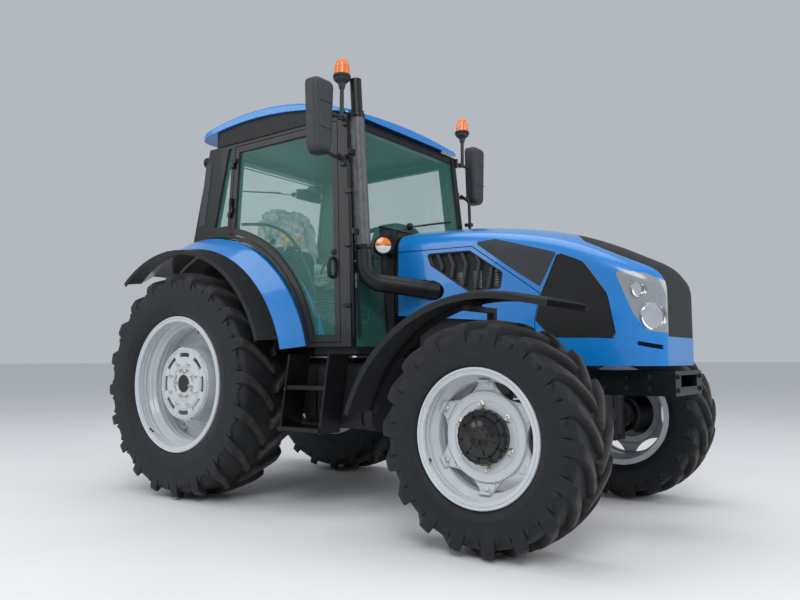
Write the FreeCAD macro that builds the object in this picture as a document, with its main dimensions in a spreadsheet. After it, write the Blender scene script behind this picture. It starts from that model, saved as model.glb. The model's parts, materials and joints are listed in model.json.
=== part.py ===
import FreeCAD, Part
import math
import os
import Sketcher

# Farm tractor, one document. Millimetres. +X forward, +Y left, +Z up.
# The origin is on the ground, midway between the lower-link ends and the front bracket's face.

doc = FreeCAD.newDocument("farm_tractor")
sheet = doc.addObject("Spreadsheet::Sheet", "Sheet")
V = FreeCAD.Vector
SIDES = (("right", -1), ("left", 1))

# Driving dimensions: name, value in millimetres, degrees or pieces
SIZES = (
    # whole machine
    ("overall_length", 4200),
    ("rear_overhang", 1130),
    ("wheelbase", 2400),
    ("seat_gap", 0.3),
    ("moving_gap", 5),
    # rear wheels
    ("rear_track_half", 783),
    ("rear_tyre_radius", 762),
    ("rear_tyre_width", 480),
    ("rear_rim_width", 410),
    ("rear_flange_radius", 457),
    ("rear_seat_radius", 432),
    ("rear_well_radius", 400),
    ("rear_lugs", 20),
    ("rear_disc_depth", 245),
    ("rear_can_radius", 245),
    ("rear_can_inset", 70),
    ("rear_can_bore", 60),
    ("rear_slots", 8),
    # front wheels
    ("front_track_half", 928),
    ("front_tyre_radius", 555),
    ("front_tyre_width", 380),
    ("front_rim_width", 330),
    ("front_flange_radius", 330),
    ("front_seat_radius", 305),
    ("front_well_radius", 280),
    ("front_lugs", 18),
    ("front_disc_depth", 95),
    ("front_disc_windows", 6),
    ("hub_radius", 130),
    ("hub_inset", 45),
    ("hub_step", 96),
    # all wheels
    ("lug_height", 38),
    ("lug_width", 46),
    ("lug_wall_run", 9),
    ("rim_wall", 9),
    ("disc_wall", 12),
    # front axle and steering
    ("kingpin_half", 700),
    ("axle_end_half", 630),
    ("axle_tube_radius", 65),
    ("axle_centre_radius", 128),
    ("axle_neck_radius", 82),
    ("knuckle_radius", 62),
    ("knuckle_half_height", 125),
    ("yoke_plate", 25),
    ("spindle_radius", 90),
    ("spindle_end_half", 800),
    ("steering_arm_length", 170),
    ("steering_arm_width", 50),
    ("steering_rod_radius", 15),
    # front fenders
    ("front_fender_radius", 676),
    ("front_fender_wall", 9),
    ("front_fender_lip", 38),
    ("front_fender_inner", 800),
    ("front_fender_outer", 1050),
    ("fender_strut", 40),
    # chassis
    ("engine_rear", 1500),
    ("engine_front", 2130),
    ("engine_half", 250),
    ("engine_bottom", 720),
    ("engine_top", 1340),
    ("sump_half", 170),
    ("sump_bottom", 560),
    ("gearbox_half", 200),
    ("gearbox_bottom", 540),
    ("gearbox_top", 935),
    ("rear_case_half", 240),
    ("rear_case_back", 280),
    ("drive_tube_radius", 35),
    ("trumpet_radius", 115),
    ("trumpet_root_radius", 150),
    ("wheel_flange_radius", 160),
    ("wheel_flange_wall", 26),
    ("bracket_half", 243),
    ("bracket_top", 858),
    ("bracket_bottom", 730),
    ("bracket_window_half", 150),
    ("bracket_window_height", 62),
    ("bracket_pin_radius", 15),
    # hood
    ("hood_rear", 1400),
    ("hood_half", 350),
    ("hood_bottom", 885),
    ("hood_side_bottom", 1200),
    ("hood_wall", 14),
    ("hood_nose_bottom", 1035),
    ("hood_fit", 0.8),
    ("vent_plate", 4),
    ("vent_bar", 10),
    ("lamp_wall", 45),
    ("lamp_bowl", 24),
    ("hood_split_top", 1600),
    ("hood_split_x", 2345),
    ("hood_hinge_x", 1402),
    ("hood_hinge_z", 1726),
    ("hood_hinge_radius", 8),
    ("hood_hinge_eye", 16),
    ("cowl_gap", 36),
    ("cowl_step", 4),
    ("hood_top", 1768),
    # cowl
    ("cowl_back", 1300),
    ("dash_back", 1030),
    ("dash_half", 170),
    ("dash_top", 1600),
    # cab
    ("cab_half", 725),
    ("cab_tilt", 3.5),
    ("cab_floor", 1000),
    ("cab_floor_wall", 45),
    ("cab_wall", 50),
    ("cab_top", 2470),
    ("arch_x", -50),
    ("arch_z", 760),
    ("cab_arch_radius", 1040),
    ("pillar_front_low", 1330),
    ("pillar_front_high", 1210),
    ("pillar_front_width", 85),
    ("pillar_rear_low", -241),
    ("pillar_rear_high", -121),
    ("pillar_rear_width", 230),
    ("door_rear", 165),
    ("door_margin", 30),
    ("door_frame", 42),
    ("door_hinge_radius", 10),
    ("door_hinge_pin", 5),
    ("door_hinge_out", 12),
    ("door_hinge_length", 32),
    ("cab_rail", 50),
    ("glass", 6),
    ("quarter_window_front", 130),
    ("quarter_window_bottom", 1870),
    # roof
    ("roof_half", 665),
    ("roof_rear", -225),
    ("roof_front", 1250),
    ("roof_height", 215),
    ("roof_corner", 110),
    ("roof_edge", 24),
    ("roof_tray", 62),
    ("roof_tray_inset", 22),
    # rear fenders
    ("fender_wall", 8),
    ("fender_inner", 500),
    ("fender_ridge", 712),
    ("fender_edge", 850),
    ("fender_outer", 1000),
    ("fender_ridge_radius", 1026),
    ("fender_edge_radius", 935),
    ("fender_outer_radius", 912),
    ("fender_front_angle", 14),
    ("fender_rear_angle", 128),
    # steps and tanks
    ("tank_back", 900),
    ("tank_front", 1440),
    ("tank_inner", 215),
    ("tank_outer", 665),
    ("tank_bottom", 500),
    ("tank_top", 900),
    ("step_outer", 860),
    ("step_back", 850),
    ("step_front", 1190),
    ("step_low", 490),
    ("step_pitch", 250),
    ("step_wall", 25),
    ("step_lean", 75),
    ("tank_corner", 70),
    # exhaust
    ("stack_y", -620),
    ("stack_x", 1269),
    ("stack_lean", 84),
    ("stack_radius", 36),
    ("stack_shield", 44),
    ("stack_top", 2680),
    ("stack_bottom", 1400),
    ("stack_bend", 120),
    ("elbow_radius", 56),
    ("elbow_x", 1690),
    ("elbow_y", -320),
    ("elbow_z", 1338),
    ("manifold_radius", 64),
    # mirrors and beacons
    ("mirror_x", 1235),
    ("mirror_half", 905),
    ("mirror_bottom", 2148),
    ("mirror_height", 460),
    ("mirror_width", 180),
    ("mirror_depth", 90),
    ("mirror_tube", 13),
    ("mirror_corner", 38),
    ("beacon_half", 710),
    ("beacon_x", 1234),
    ("beacon_radius", 54),
    ("beacon_height", 120),
    ("beacon_top", 2797),
    ("indicator_x", 1385),
    ("indicator_half", 490),
    ("indicator_z", 1629),
    ("indicator_radius", 58),
    ("work_lamp_half", 560),
    ("work_lamp_z", 2405),
    ("work_lamp_radius", 44),
    # hitch and drawbar
    ("link_pivot_x", 330),
    ("link_pivot_z", 480),
    ("link_pivot_half", 275),
    ("link_end_half", 415),
    ("link_bar", 56),
    ("link_wall", 22),
    ("link_eye_radius", 38),
    ("link_bore_radius", 14.35),
    ("link_eye_width", 45),
    ("lift_length", 420),
    ("lift_pivot_z", 905),
    ("lift_shaft_radius", 42),
    ("lift_rod_radius", 14),
    ("lift_rod_offset", 34),
    ("lift_pin_radius", 11),
    ("top_link_z", 790),
    ("top_link_length", 560),
    ("pto_radius", 17.5),
    ("pto_length", 76),
    ("pto_z", 640),
    ("drawbar_z", 400),
    ("drawbar_half", 45),
    ("drawbar_wall", 34),
    ("drawbar_length", 560),
    ("drawbar_pin_radius", 16),
    # seat and steering wheel
    ("seat_x", 330),
    ("seat_half", 245),
    ("seat_top", 1560),
    ("seat_back_top", 2060),
    ("wheel_radius", 200),
    ("wheel_rim", 15),
    ("wheel_x", 880),
    ("wheel_z", 1730),
    ("wheel_tilt", 35),
)


class Size:
    """A number together with the sheet expression that gives it."""

    def __init__(self, value, text):
        self.value = float(value)
        self.text = text

    def __add__(self, other):
        other = as_size(other)
        return Size(self.value + other.value, "(%s + %s)" % (self.text, other.text))

    def __sub__(self, other):
        other = as_size(other)
        return Size(self.value - other.value, "(%s - %s)" % (self.text, other.text))

    def __mul__(self, other):
        other = as_size(other)
        return Size(self.value * other.value, "(%s * %s)" % (self.text, other.text))

    def __truediv__(self, other):
        other = as_size(other)
        return Size(self.value / other.value, "(%s / %s)" % (self.text, other.text))

    def __neg__(self):
        return Size(-self.value, "(0 - %s)" % self.text)

    def __radd__(self, other):
        return as_size(other) + self

    def __rsub__(self, other):
        return as_size(other) - self

    def __rmul__(self, other):
        return as_size(other) * self

    def __float__(self):
        return self.value


def as_size(value):
    if isinstance(value, Size):
        return value
    return Size(value, repr(float(value)))


def root(value):
    return Size(math.sqrt(value.value), "sqrt(%s)" % value.text)


class Sheet:
    """The driving dimensions by name, each one a cell of the spreadsheet."""

    def __init__(self, rows):
        for number, (name, value) in enumerate(rows, start=1):
            sheet.set("A%d" % number, name)
            sheet.set("B%d" % number, str(value))
            sheet.setAlias("B%d" % number, name)
            setattr(self, name, Size(value, "Sheet." + name))


S = Sheet(SIZES)
doc.recompute()

rear_x = S.rear_overhang - S.overall_length / 2
front_x = rear_x + S.wheelbase
front_face = S.overall_length / 2
nodes = []

PLANE_TURN = {
    "XY": FreeCAD.Rotation(),
    "XZ": FreeCAD.Rotation(V(1, 0, 0), 90),
    "YZ": FreeCAD.Rotation(V(1, 1, 1), 120),
}
PLANE_AXIS = {"XY": "z", "XZ": "y", "YZ": "x"}
AXIS_TURN = {
    "x": FreeCAD.Rotation(V(0, 1, 0), 90),
    "y": FreeCAD.Rotation(V(1, 0, 0), -90),
    "z": FreeCAD.Rotation(),
}
AXIS_VECTOR = {"x": V(1, 0, 0), "y": V(0, 1, 0), "z": V(0, 0, 1)}


def vector(*values):
    return V(*[float(value) for value in values])


def bind(thing, **values):
    """Sets properties from sizes, so that they follow the sheet."""
    for name, value in values.items():
        thing.setExpression(name, as_size(value).text)


def put(thing, place, turn=FreeCAD.Rotation()):
    thing.Placement = FreeCAD.Placement(vector(*place), turn)
    for axis, value in zip("xyz", place):
        thing.setExpression("Placement.Base." + axis, as_size(value).text)
    return thing


def span(side, near, far):
    """The two Y values of a piece between near and far from the middle, lowest first."""
    near = as_size(near)
    far = as_size(far)
    return (near, far) if side > 0 else (-far, -near)


def block(name, x, y, z):
    """A block between two values along each axis."""
    piece = doc.addObject("Part::Box", name)
    bind(piece, Length=as_size(x[1]) - x[0], Width=as_size(y[1]) - y[0], Height=as_size(z[1]) - z[0])
    return put(piece, (x[0], y[0], z[0]))


def rod(name, axis, start, length, radius):
    """A round bar that runs from start along the positive axis."""
    piece = doc.addObject("Part::Cylinder", name)
    bind(piece, Radius=radius, Height=length)
    return put(piece, start, AXIS_TURN[axis])


def strut(name, start, end, radius):
    """A round bar between any two points."""
    start = vector(*start)
    end = vector(*end)
    piece = doc.addObject("Part::Feature", name)
    piece.Shape = Part.makeCylinder(float(radius), (end - start).Length)
    piece.Placement = FreeCAD.Placement(start, FreeCAD.Rotation(V(0, 0, 1), end - start))
    return piece


def corner_arc(before, corner, after, bend):
    """Start, middle and end of the arc that rounds a corner."""
    back = (before - corner).normalize()
    ahead = (after - corner).normalize()
    half = back.getAngle(ahead) / 2
    trim = bend / math.tan(half)
    middle = corner + (back + ahead).normalize() * (bend / math.sin(half) - bend)
    return corner + back * trim, middle, corner + ahead * trim


def soft(points, bend):
    """A closed outline with its corners rounded; a third value in a point is its own radius."""
    outline = []
    for number, point in enumerate(points):
        before = vector(*points[number - 1][:2], 0)
        after = vector(*points[(number + 1) % len(points)][:2], 0)
        radius = float(point[2] if len(point) == 3 else bend)
        if radius == 0:
            outline.append((point[0], point[1]))
            continue
        start, middle, end = corner_arc(before, vector(point[0], point[1], 0), after, radius)
        outline.append((start.x, start.y, middle.x, middle.y))
        outline.append((end.x, end.y))
    return outline


def pipe(name, points, bend, radius):
    """A round bar along straight runs, with the same bend at each corner."""
    points = [vector(*point) for point in points]
    edges = []
    start = points[0]
    for before, corner, after in zip(points, points[1:], points[2:]):
        bend_start, middle, bend_end = corner_arc(before, corner, after, float(bend))
        edges.append(Part.makeLine(start, bend_start))
        edges.append(Part.Arc(bend_start, middle, bend_end).toShape())
        start = bend_end
    edges.append(Part.makeLine(start, points[-1]))
    profile = Part.Wire(Part.makeCircle(float(radius), points[0], points[1] - points[0]))
    piece = doc.addObject("Part::Feature", name)
    piece.Shape = Part.Wire(edges).makePipeShell([profile], True, False)
    return piece


def ball(name, centre, radius):
    piece = doc.addObject("Part::Sphere", name)
    bind(piece, Radius=radius)
    return put(piece, centre)


def rounded(name, base, radius, chosen):
    """The base with the edges that chosen picks rounded off."""
    doc.recompute()
    piece = doc.addObject("Part::Fillet", name)
    piece.Base = base
    piece.Edges = [(number, float(radius), float(radius))
                   for number, edge in enumerate(base.Shape.Edges, start=1) if chosen(edge)]
    return piece


def runs_along(axis):
    """Picks the straight edges along an axis."""
    def chosen(edge):
        box = edge.BoundBox
        lengths = {"x": box.XLength, "y": box.YLength, "z": box.ZLength}
        own = lengths.pop(axis)
        return own > 1 and max(lengths.values()) < 0.01
    return chosen


def every_edge(edge):
    return edge.Length > 1


def joined(name, pieces):
    whole = doc.addObject("Part::MultiFuse", name)
    whole.Shapes = pieces
    whole.Refine = True
    return whole


def cut(name, base, tool):
    rest = doc.addObject("Part::Cut", name)
    rest.Base = base
    rest.Tool = tool
    return rest


def common(name, base, tool):
    shared = doc.addObject("Part::Common", name)
    shared.Base = base
    shared.Tool = tool
    return shared


def grouped(name, pieces):
    """Like pieces that don't touch, in one node."""
    group = doc.addObject("Part::Compound", name)
    group.Links = pieces
    return group


def node(thing, name):
    thing.Label = name
    nodes.append(thing)
    return thing


def draw(sketch, outline, tag="p"):
    """Draws a closed outline of points (across, up) or (across, up, across_mid, up_mid).

    The longer form starts an arc that runs through its second pair to the next point.
    """
    first = sketch.GeometryCount
    ends = []
    for number, point in enumerate(outline):
        following = outline[(number + 1) % len(outline)]
        start = vector(point[0], point[1], 0)
        end = vector(following[0], following[1], 0)
        if len(point) == 4:
            middle = vector(point[2], point[3], 0)
            sketch.addGeometry(Part.Arc(start, middle, end))
            left_turn = (middle - start).cross(end - middle).z > 0
            ends.append((1, 2) if left_turn else (2, 1))
        else:
            sketch.addGeometry(Part.LineSegment(start, end))
            ends.append((1, 2))
    for number, point in enumerate(outline):
        later = (number + 1) % len(outline)
        sketch.addConstraint(Sketcher.Constraint(
            "Coincident", first + number, ends[number][1], first + later, ends[later][0]))
    for number, point in enumerate(outline):
        for kind, value in (("DistanceX", point[0]), ("DistanceY", point[1])):
            value = as_size(value)
            index = sketch.addConstraint(Sketcher.Constraint(
                kind, -1, 1, first + number, ends[number][0], value.value))
            label = "%s%s%d" % (tag, kind[-1], first + number)
            sketch.renameConstraint(index, label)
            sketch.setExpression("Constraints." + label, value.text)


def slab(name, plane, outlines, offset, depth):
    """Outlines on a plane (the first whole, the others holes) pushed out from offset by depth."""
    sketch = doc.addObject("Sketcher::SketchObject", name + "_outline")
    for number, outline in enumerate(outlines):
        draw(sketch, outline, "p%d" % number)
    place = {"x": 0, "y": 0, "z": 0}
    place[PLANE_AXIS[plane]] = offset
    put(sketch, (place["x"], place["y"], place["z"]), PLANE_TURN[plane])
    push = doc.addObject("Part::Extrusion", name)
    push.Base = sketch
    push.DirMode = "Custom"
    push.Dir = AXIS_VECTOR[PLANE_AXIS[plane]]
    push.Solid = True
    push.FaceMakerClass = "Part::FaceMakerBullseye"
    bind(push, LengthFwd=depth)
    return push


def origin_plane(body, role):
    for feature in body.Origin.OriginFeatures:
        if feature.Role == role:
            return feature
    raise ValueError("no plane " + role)


def turned_body(name, profiles, centre):
    """A body of profiles (along Y, radius) turned about its own Y axis."""
    body = doc.addObject("PartDesign::Body", name)
    for number, profile in enumerate(profiles):
        sketch = body.newObject("Sketcher::SketchObject", "%s_profile%d" % (name, number))
        sketch.AttachmentSupport = [(origin_plane(body, "YZ_Plane"), "")]
        sketch.MapMode = "FlatFace"
        draw(sketch, profile)
        turn = body.newObject("PartDesign::Revolution", "%s_turn%d" % (name, number))
        turn.Profile = sketch
        turn.ReferenceAxis = (sketch, ["H_Axis"])
        turn.Angle = 360
        sketch.Visibility = False
    return put(body, centre)


def turned_up(name, profile, place):
    """A profile (radius, height) turned about a vertical axis."""
    points = [vector(radius, 0, height) for radius, height in profile]
    face = Part.Face(Part.makePolygon(points + points[:1]))
    piece = doc.addObject("Part::Feature", name)
    piece.Shape = face.revolve(V(0, 0, 0), V(0, 0, 1), 360)
    return put(piece, place)


def pocket_ring(body, name, outline, copies, depth):
    """One pocket through the body on both sides of its XZ plane, repeated about the Y axis."""
    before = body.Shape.Volume
    sketch = body.newObject("Sketcher::SketchObject", name + "_outline")
    sketch.AttachmentSupport = [(origin_plane(body, "XZ_Plane"), "")]
    sketch.MapMode = "FlatFace"
    draw(sketch, outline)
    pocket = body.newObject("PartDesign::Pocket", name)
    pocket.Profile = sketch
    pocket.Midplane = True
    bind(pocket, Length=depth)
    ring = body.newObject("PartDesign::PolarPattern", name + "_ring")
    ring.Originals = [pocket]
    ring.Axis = (sketch, ["N_Axis"])
    ring.Angle = 360
    bind(ring, Occurrences=copies)
    body.Tip = ring
    doc.recompute()
    if body.Shape.Volume >= before:
        raise ValueError(name + " cuts nothing")


# Tyres

# Lug columns from the centre line out: share of the half width, surface below the lug's tips,
# lug height share, lug top width share, and how far the lug falls back, in lug widths
LUG_COLUMNS = (
    ("centre", 0.05, 1.00, 1.00, 1.05, 0.0),
    ("middle", 0.50, 1.10, 1.00, 1.00, 2.0),
    ("shoulder", 0.90, 1.45, 0.88, 1.30, 3.6),
    ("drop", 1.00, 2.75, 0.45, 1.15, 3.9),
)
BULGE_DROP = 5.0


def zip_rings(facets, first, second):
    """Fills the strip between two rings, each a list of (angle, point number) in order."""
    full = 2 * math.pi
    first = sorted(first)
    second = sorted(second)
    first = first + [(first[0][0] + full, first[0][1])]
    start = min(range(len(second)), key=lambda k: abs(second[k][0] - first[0][0]))
    if second[start][0] > first[0][0]:
        start -= 1
    turned = [second[(start + k) % len(second)] for k in range(len(second) + 1)]
    angles = []
    for k, (angle, number) in enumerate(turned):
        while angles and angle < angles[-1]:
            angle += full
        if not angles and angle > first[0][0]:
            angle -= full
        angles.append(angle)
    a, b = 0, 0
    while a < len(first) - 1 or b < len(turned) - 1:
        step_a = b == len(turned) - 1
        if a < len(first) - 1 and b < len(turned) - 1:
            step_a = first[a + 1][0] <= angles[b + 1]
        if step_a:
            facets.append((first[a][1], turned[b][1], first[a + 1][1]))
            a += 1
        else:
            facets.append((first[a][1], turned[b][1], turned[b + 1][1]))
            b += 1


def lug_tyre(name, x, y, radius, width, bead_half, flange, seat, lugs):
    """A tyre of flat facets: two staggered rows of lugs on a carcass that sits on its rim."""
    radius = float(radius)
    half = float(width) / 2
    height = float(S.lug_height)
    lug_width = float(S.lug_width)
    wall_run = float(S.lug_wall_run)
    count = int(float(lugs))
    pitch = 2 * math.pi / count
    chord = math.cos(pitch / 2)
    points = []
    facets = []

    def add(across, distance, angle):
        points.append(V(distance * math.sin(angle), across, distance * math.cos(angle)))
        return len(points) - 1

    inner_rings = []
    centre_rings = []
    for row, shift in ((1, 0.0), (-1, 0.5)):
        columns = []
        for label, share, drop, tall, wide, back in LUG_COLUMNS:
            base = radius - drop * height
            top = base + tall * height
            if label == "centre":
                top = radius
            ring = []
            for lug in range(count):
                middle = math.pi + (lug + shift) * pitch - back * lug_width / radius
                top_half = wide * lug_width / 2 / radius
                base_half = top_half + wall_run / radius
                angles = (middle - base_half, middle - top_half, middle + top_half, middle + base_half)
                if label == "centre":
                    angles = tuple(angle + top_half for angle in angles)
                across = row * share * half
                ring.append([(angles[0], add(across, base, angles[0])),
                             (angles[1], add(across, top, angles[1])),
                             (angles[2], add(across, top, angles[2])),
                             (angles[3], add(across, base, angles[3]))])
            columns.append(ring)
        for inner, outer in zip(columns, columns[1:]):
            for lug in range(count):
                a = [number for angle, number in inner[lug]] + [inner[(lug + 1) % count][0][1]]
                b = [number for angle, number in outer[lug]] + [outer[(lug + 1) % count][0][1]]
                for k in range(4):
                    facets.append((a[k], b[k], b[k + 1]))
                    facets.append((a[k], b[k + 1], a[k + 1]))
        for ring in (columns[0], columns[-1]):
            for lug in ring:
                numbers = [number for angle, number in lug]
                facets.append((numbers[0], numbers[1], numbers[2]))
                facets.append((numbers[0], numbers[2], numbers[3]))
        centre_rings.append([lug[k] for lug in columns[0] for k in (0, 3)])
        drop_ring = [lug[k] for lug in columns[-1] for k in (0, 3)]
        rings = []
        for across, distance in ((half, radius - BULGE_DROP * height),
                                 (float(bead_half), (float(flange) + 2) / chord),
                                 (float(bead_half), (float(seat) + 0.3) / chord)):
            rings.append([(pitch * k, add(row * across, distance, pitch * k)) for k in range(count)])
        zip_rings(facets, drop_ring, rings[0])
        zip_rings(facets, rings[0], rings[1])
        zip_rings(facets, rings[1], rings[2])
        inner_rings.append(rings[2])
    zip_rings(facets, centre_rings[0], centre_rings[1])
    zip_rings(facets, inner_rings[0], inner_rings[1])
    mesh_shape = Part.Shape()
    mesh_shape.makeShapeFromMesh((points, facets), 0.01)
    solid = Part.Solid(Part.Shell(mesh_shape.Faces))
    if solid.Volume < 0:
        solid.reverse()
    tyre = doc.addObject("Part::Feature", name)
    tyre.Shape = solid
    return put(tyre, (x, y, radius))


def barrel(half, flange, seat, well, out):
    """Half section of a drop-centre rim: outer line, then back along its inner line."""
    wall = S.rim_wall
    step = (seat - well) * 1.2
    well_half = half * 0.42
    outer = [(-half, flange), (-half + wall, flange), (-half + wall, seat), (-well_half - step, seat),
             (-well_half, well), (well_half, well), (well_half + step, seat), (half - wall, seat),
             (half - wall, flange), (half, flange)]
    inner = [(half, seat - wall), (well_half + step, seat - wall), (well_half, well - wall),
             (-well_half, well - wall), (-well_half - step, seat - wall), (-half, seat - wall)]
    return [(along * out, radius) for along, radius in outer + inner]


def sector(inner, outer, half_angle, at=0.0):
    """A slot outline between two radii, centred on a direction in degrees."""
    low = math.radians(at - half_angle)
    high = math.radians(at + half_angle)
    middle = math.radians(at)
    return [(inner * math.cos(low), inner * math.sin(low)),
            (outer * math.cos(low), outer * math.sin(low), outer * math.cos(middle), outer * math.sin(middle)),
            (outer * math.cos(high), outer * math.sin(high)),
            (inner * math.cos(high), inner * math.sin(high), inner * math.cos(middle), inner * math.sin(middle))]


# Wheels

rear_half = S.rear_rim_width / 2
front_half = S.front_rim_width / 2
can_face = rear_half - S.rear_can_inset
rear_disc = can_face - (S.rear_disc_depth - S.rear_can_inset)
rear_barrel_inside = S.rear_well_radius - S.rim_wall / 2
front_disc = front_half - S.front_disc_depth
front_barrel_inside = S.front_well_radius - S.rim_wall / 2
hub_face = front_half - S.hub_inset

for side_name, out in SIDES:
    tyre = lug_tyre("rear_tyre_" + side_name, rear_x, S.rear_track_half * out, S.rear_tyre_radius,
                    S.rear_tyre_width, rear_half - S.rim_wall - 1, S.rear_flange_radius,
                    S.rear_seat_radius, S.rear_lugs)
    node(tyre, "rear_tyre_" + side_name)
    centre = (rear_x, S.rear_track_half * out, S.rear_tyre_radius)
    wall = S.disc_wall
    flange_face = can_face - wall
    dish = S.rear_can_radius + 60
    disc_and_can = [
        (rear_disc - 14, rear_barrel_inside),
        (rear_disc - 14 + wall, rear_barrel_inside),
        (rear_disc + wall, dish),
        (rear_disc + wall, S.rear_can_radius + 16),
        (rear_disc + wall + 16, S.rear_can_radius),
        (can_face - 14, S.rear_can_radius),
        (can_face, S.rear_can_radius - 14),
        (can_face, 172),
        (can_face + 6, 166),
        (can_face + 6, 118),
        (can_face, 112),
        (can_face, S.rear_can_bore),
        (flange_face, S.rear_can_bore),
        (flange_face, S.rear_can_radius - wall - 10),
        (flange_face - 10, S.rear_can_radius - wall),
        (rear_disc, S.rear_can_radius - wall),
        (rear_disc, dish),
    ]
    rim = turned_body("rear_barrel_" + side_name, [
        barrel(rear_half, S.rear_flange_radius, S.rear_seat_radius, S.rear_well_radius, out),
        [(along * out, radius) for along, radius in disc_and_can]], centre)
    doc.recompute()
    pocket_ring(rim, "outer_slots_" + side_name, sector(S.rear_can_radius - 62, S.rear_can_radius - 34, 15),
                S.rear_slots, S.rear_rim_width)
    pocket_ring(rim, "inner_slots_" + side_name, sector(S.rear_can_bore + 24, S.rear_can_bore + 42, 13, 22.5),
                S.rear_slots, S.rear_rim_width)
    # wheel flange bolted behind the face of the can, with the end of the axle shaft
    flange = turned_body("rear_flange_" + side_name, [[
        (along * out, radius) for along, radius in (
            (flange_face - S.wheel_flange_wall, 0),
            (flange_face - S.wheel_flange_wall, S.wheel_flange_radius),
            (flange_face, S.wheel_flange_radius),
            (flange_face, S.rear_can_bore - S.seat_gap * 4),
            (can_face - 4, S.rear_can_bore - S.seat_gap * 4),
            (can_face - 4, 0))]], centre)
    node(joined("rear_disc_" + side_name, [rim, flange]), "rear_rim_" + side_name)

for side_name, out in SIDES:
    tyre = lug_tyre("front_tyre_" + side_name, front_x, S.front_track_half * out, S.front_tyre_radius,
                    S.front_tyre_width, front_half - S.rim_wall - 1, S.front_flange_radius,
                    S.front_seat_radius, S.front_lugs)
    node(tyre, "front_tyre_" + side_name)
    centre = (front_x, S.front_track_half * out, S.front_tyre_radius)
    wall = S.disc_wall
    lens_radius = S.front_well_radius - S.rim_wall - 6
    lens_bottom = S.hub_radius + 84
    disc = [
        (front_disc - wall * 2, front_barrel_inside),
        (front_disc - wall, front_barrel_inside),
        (front_disc - wall, S.hub_radius + 92),
        (front_disc, S.hub_radius + 80),
        (front_disc, S.hub_radius + S.seat_gap),
        (front_disc - wall, S.hub_radius + S.seat_gap),
        (front_disc - wall, S.hub_radius + 72),
        (front_disc - wall * 2, S.hub_radius + 84),
    ]
    rim = turned_body("front_rim_" + side_name, [
        barrel(front_half, S.front_flange_radius, S.front_seat_radius, S.front_well_radius, out),
        [(along * out, radius) for along, radius in disc]], centre)
    doc.recompute()
    spread = math.radians(22)
    lens = [(lens_radius * math.cos(spread), -lens_radius * math.sin(spread), lens_radius, as_size(0)),
            (lens_radius * math.cos(spread), lens_radius * math.sin(spread), lens_bottom, as_size(0))]
    pocket_ring(rim, "disc_windows_" + side_name, lens, S.front_disc_windows,
                S.disc_wall * 2 + front_disc * 2 + 60)
    node(rim, "front_rim_" + side_name)
    hub = turned_body("front_hub_" + side_name, [[
        (along * out, radius) for along, radius in (
            (S.spindle_end_half + S.seat_gap - S.front_track_half, 0),
            (S.spindle_end_half + S.seat_gap - S.front_track_half, S.hub_radius - 10),
            (front_disc - wall * 2, S.hub_radius - 10),
            (front_disc - wall * 2, S.hub_radius + 34),
            (front_disc - wall, S.hub_radius + 34),
            (front_disc - wall, S.hub_radius),
            (hub_face - 22, S.hub_radius),
            (hub_face - 8, S.hub_radius - 8),
            (hub_face - 8, S.hub_step + 6),
            (hub_face, S.hub_step),
            (hub_face + 6, S.hub_step - 40),
            (hub_face + 7, 0))]], centre)
    node(hub, "front_hub_" + side_name)

# Front axle, knuckles and steering

hub_z = S.front_tyre_radius
yoke_inside = S.knuckle_half_height + S.moving_gap
axle_parts = [
    turned_body("axle_beam", [[
        (-S.axle_end_half + 20, 0), (-S.axle_end_half + 20, S.axle_tube_radius), (-300, S.axle_neck_radius),
        (-190, S.axle_neck_radius + 8), (-140, S.axle_centre_radius), (60, S.axle_centre_radius),
        (120, S.axle_neck_radius + 14), (300, S.axle_neck_radius), (S.axle_end_half - 20, S.axle_tube_radius),
        (S.axle_end_half - 20, 0)]], (front_x, 0, hub_z)),
    rod("steering_cylinder", "y", (front_x - 108, -230, hub_z + 62), 460, 34),
    rod("axle_pivot", "x", (front_x - 200, 0, hub_z + 120), 360, 48),
]
for side_name, out in SIDES:
    axle_parts.append(block(
        "yoke_web_" + side_name, (front_x - 44, front_x + 44), span(out, S.axle_end_half - 60, S.axle_end_half),
        (hub_z - yoke_inside - S.yoke_plate, hub_z + yoke_inside + S.yoke_plate)))
    for level, low in (("top", yoke_inside), ("low", -yoke_inside - S.yoke_plate)):
        axle_parts.append(block(
            "yoke_%s_%s" % (level, side_name), (front_x - 50, front_x + 50),
            span(out, S.axle_end_half - 10, S.kingpin_half + 45), (hub_z + low, hub_z + low + S.yoke_plate)))
node(joined("front_axle", axle_parts), "front_axle")

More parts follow.
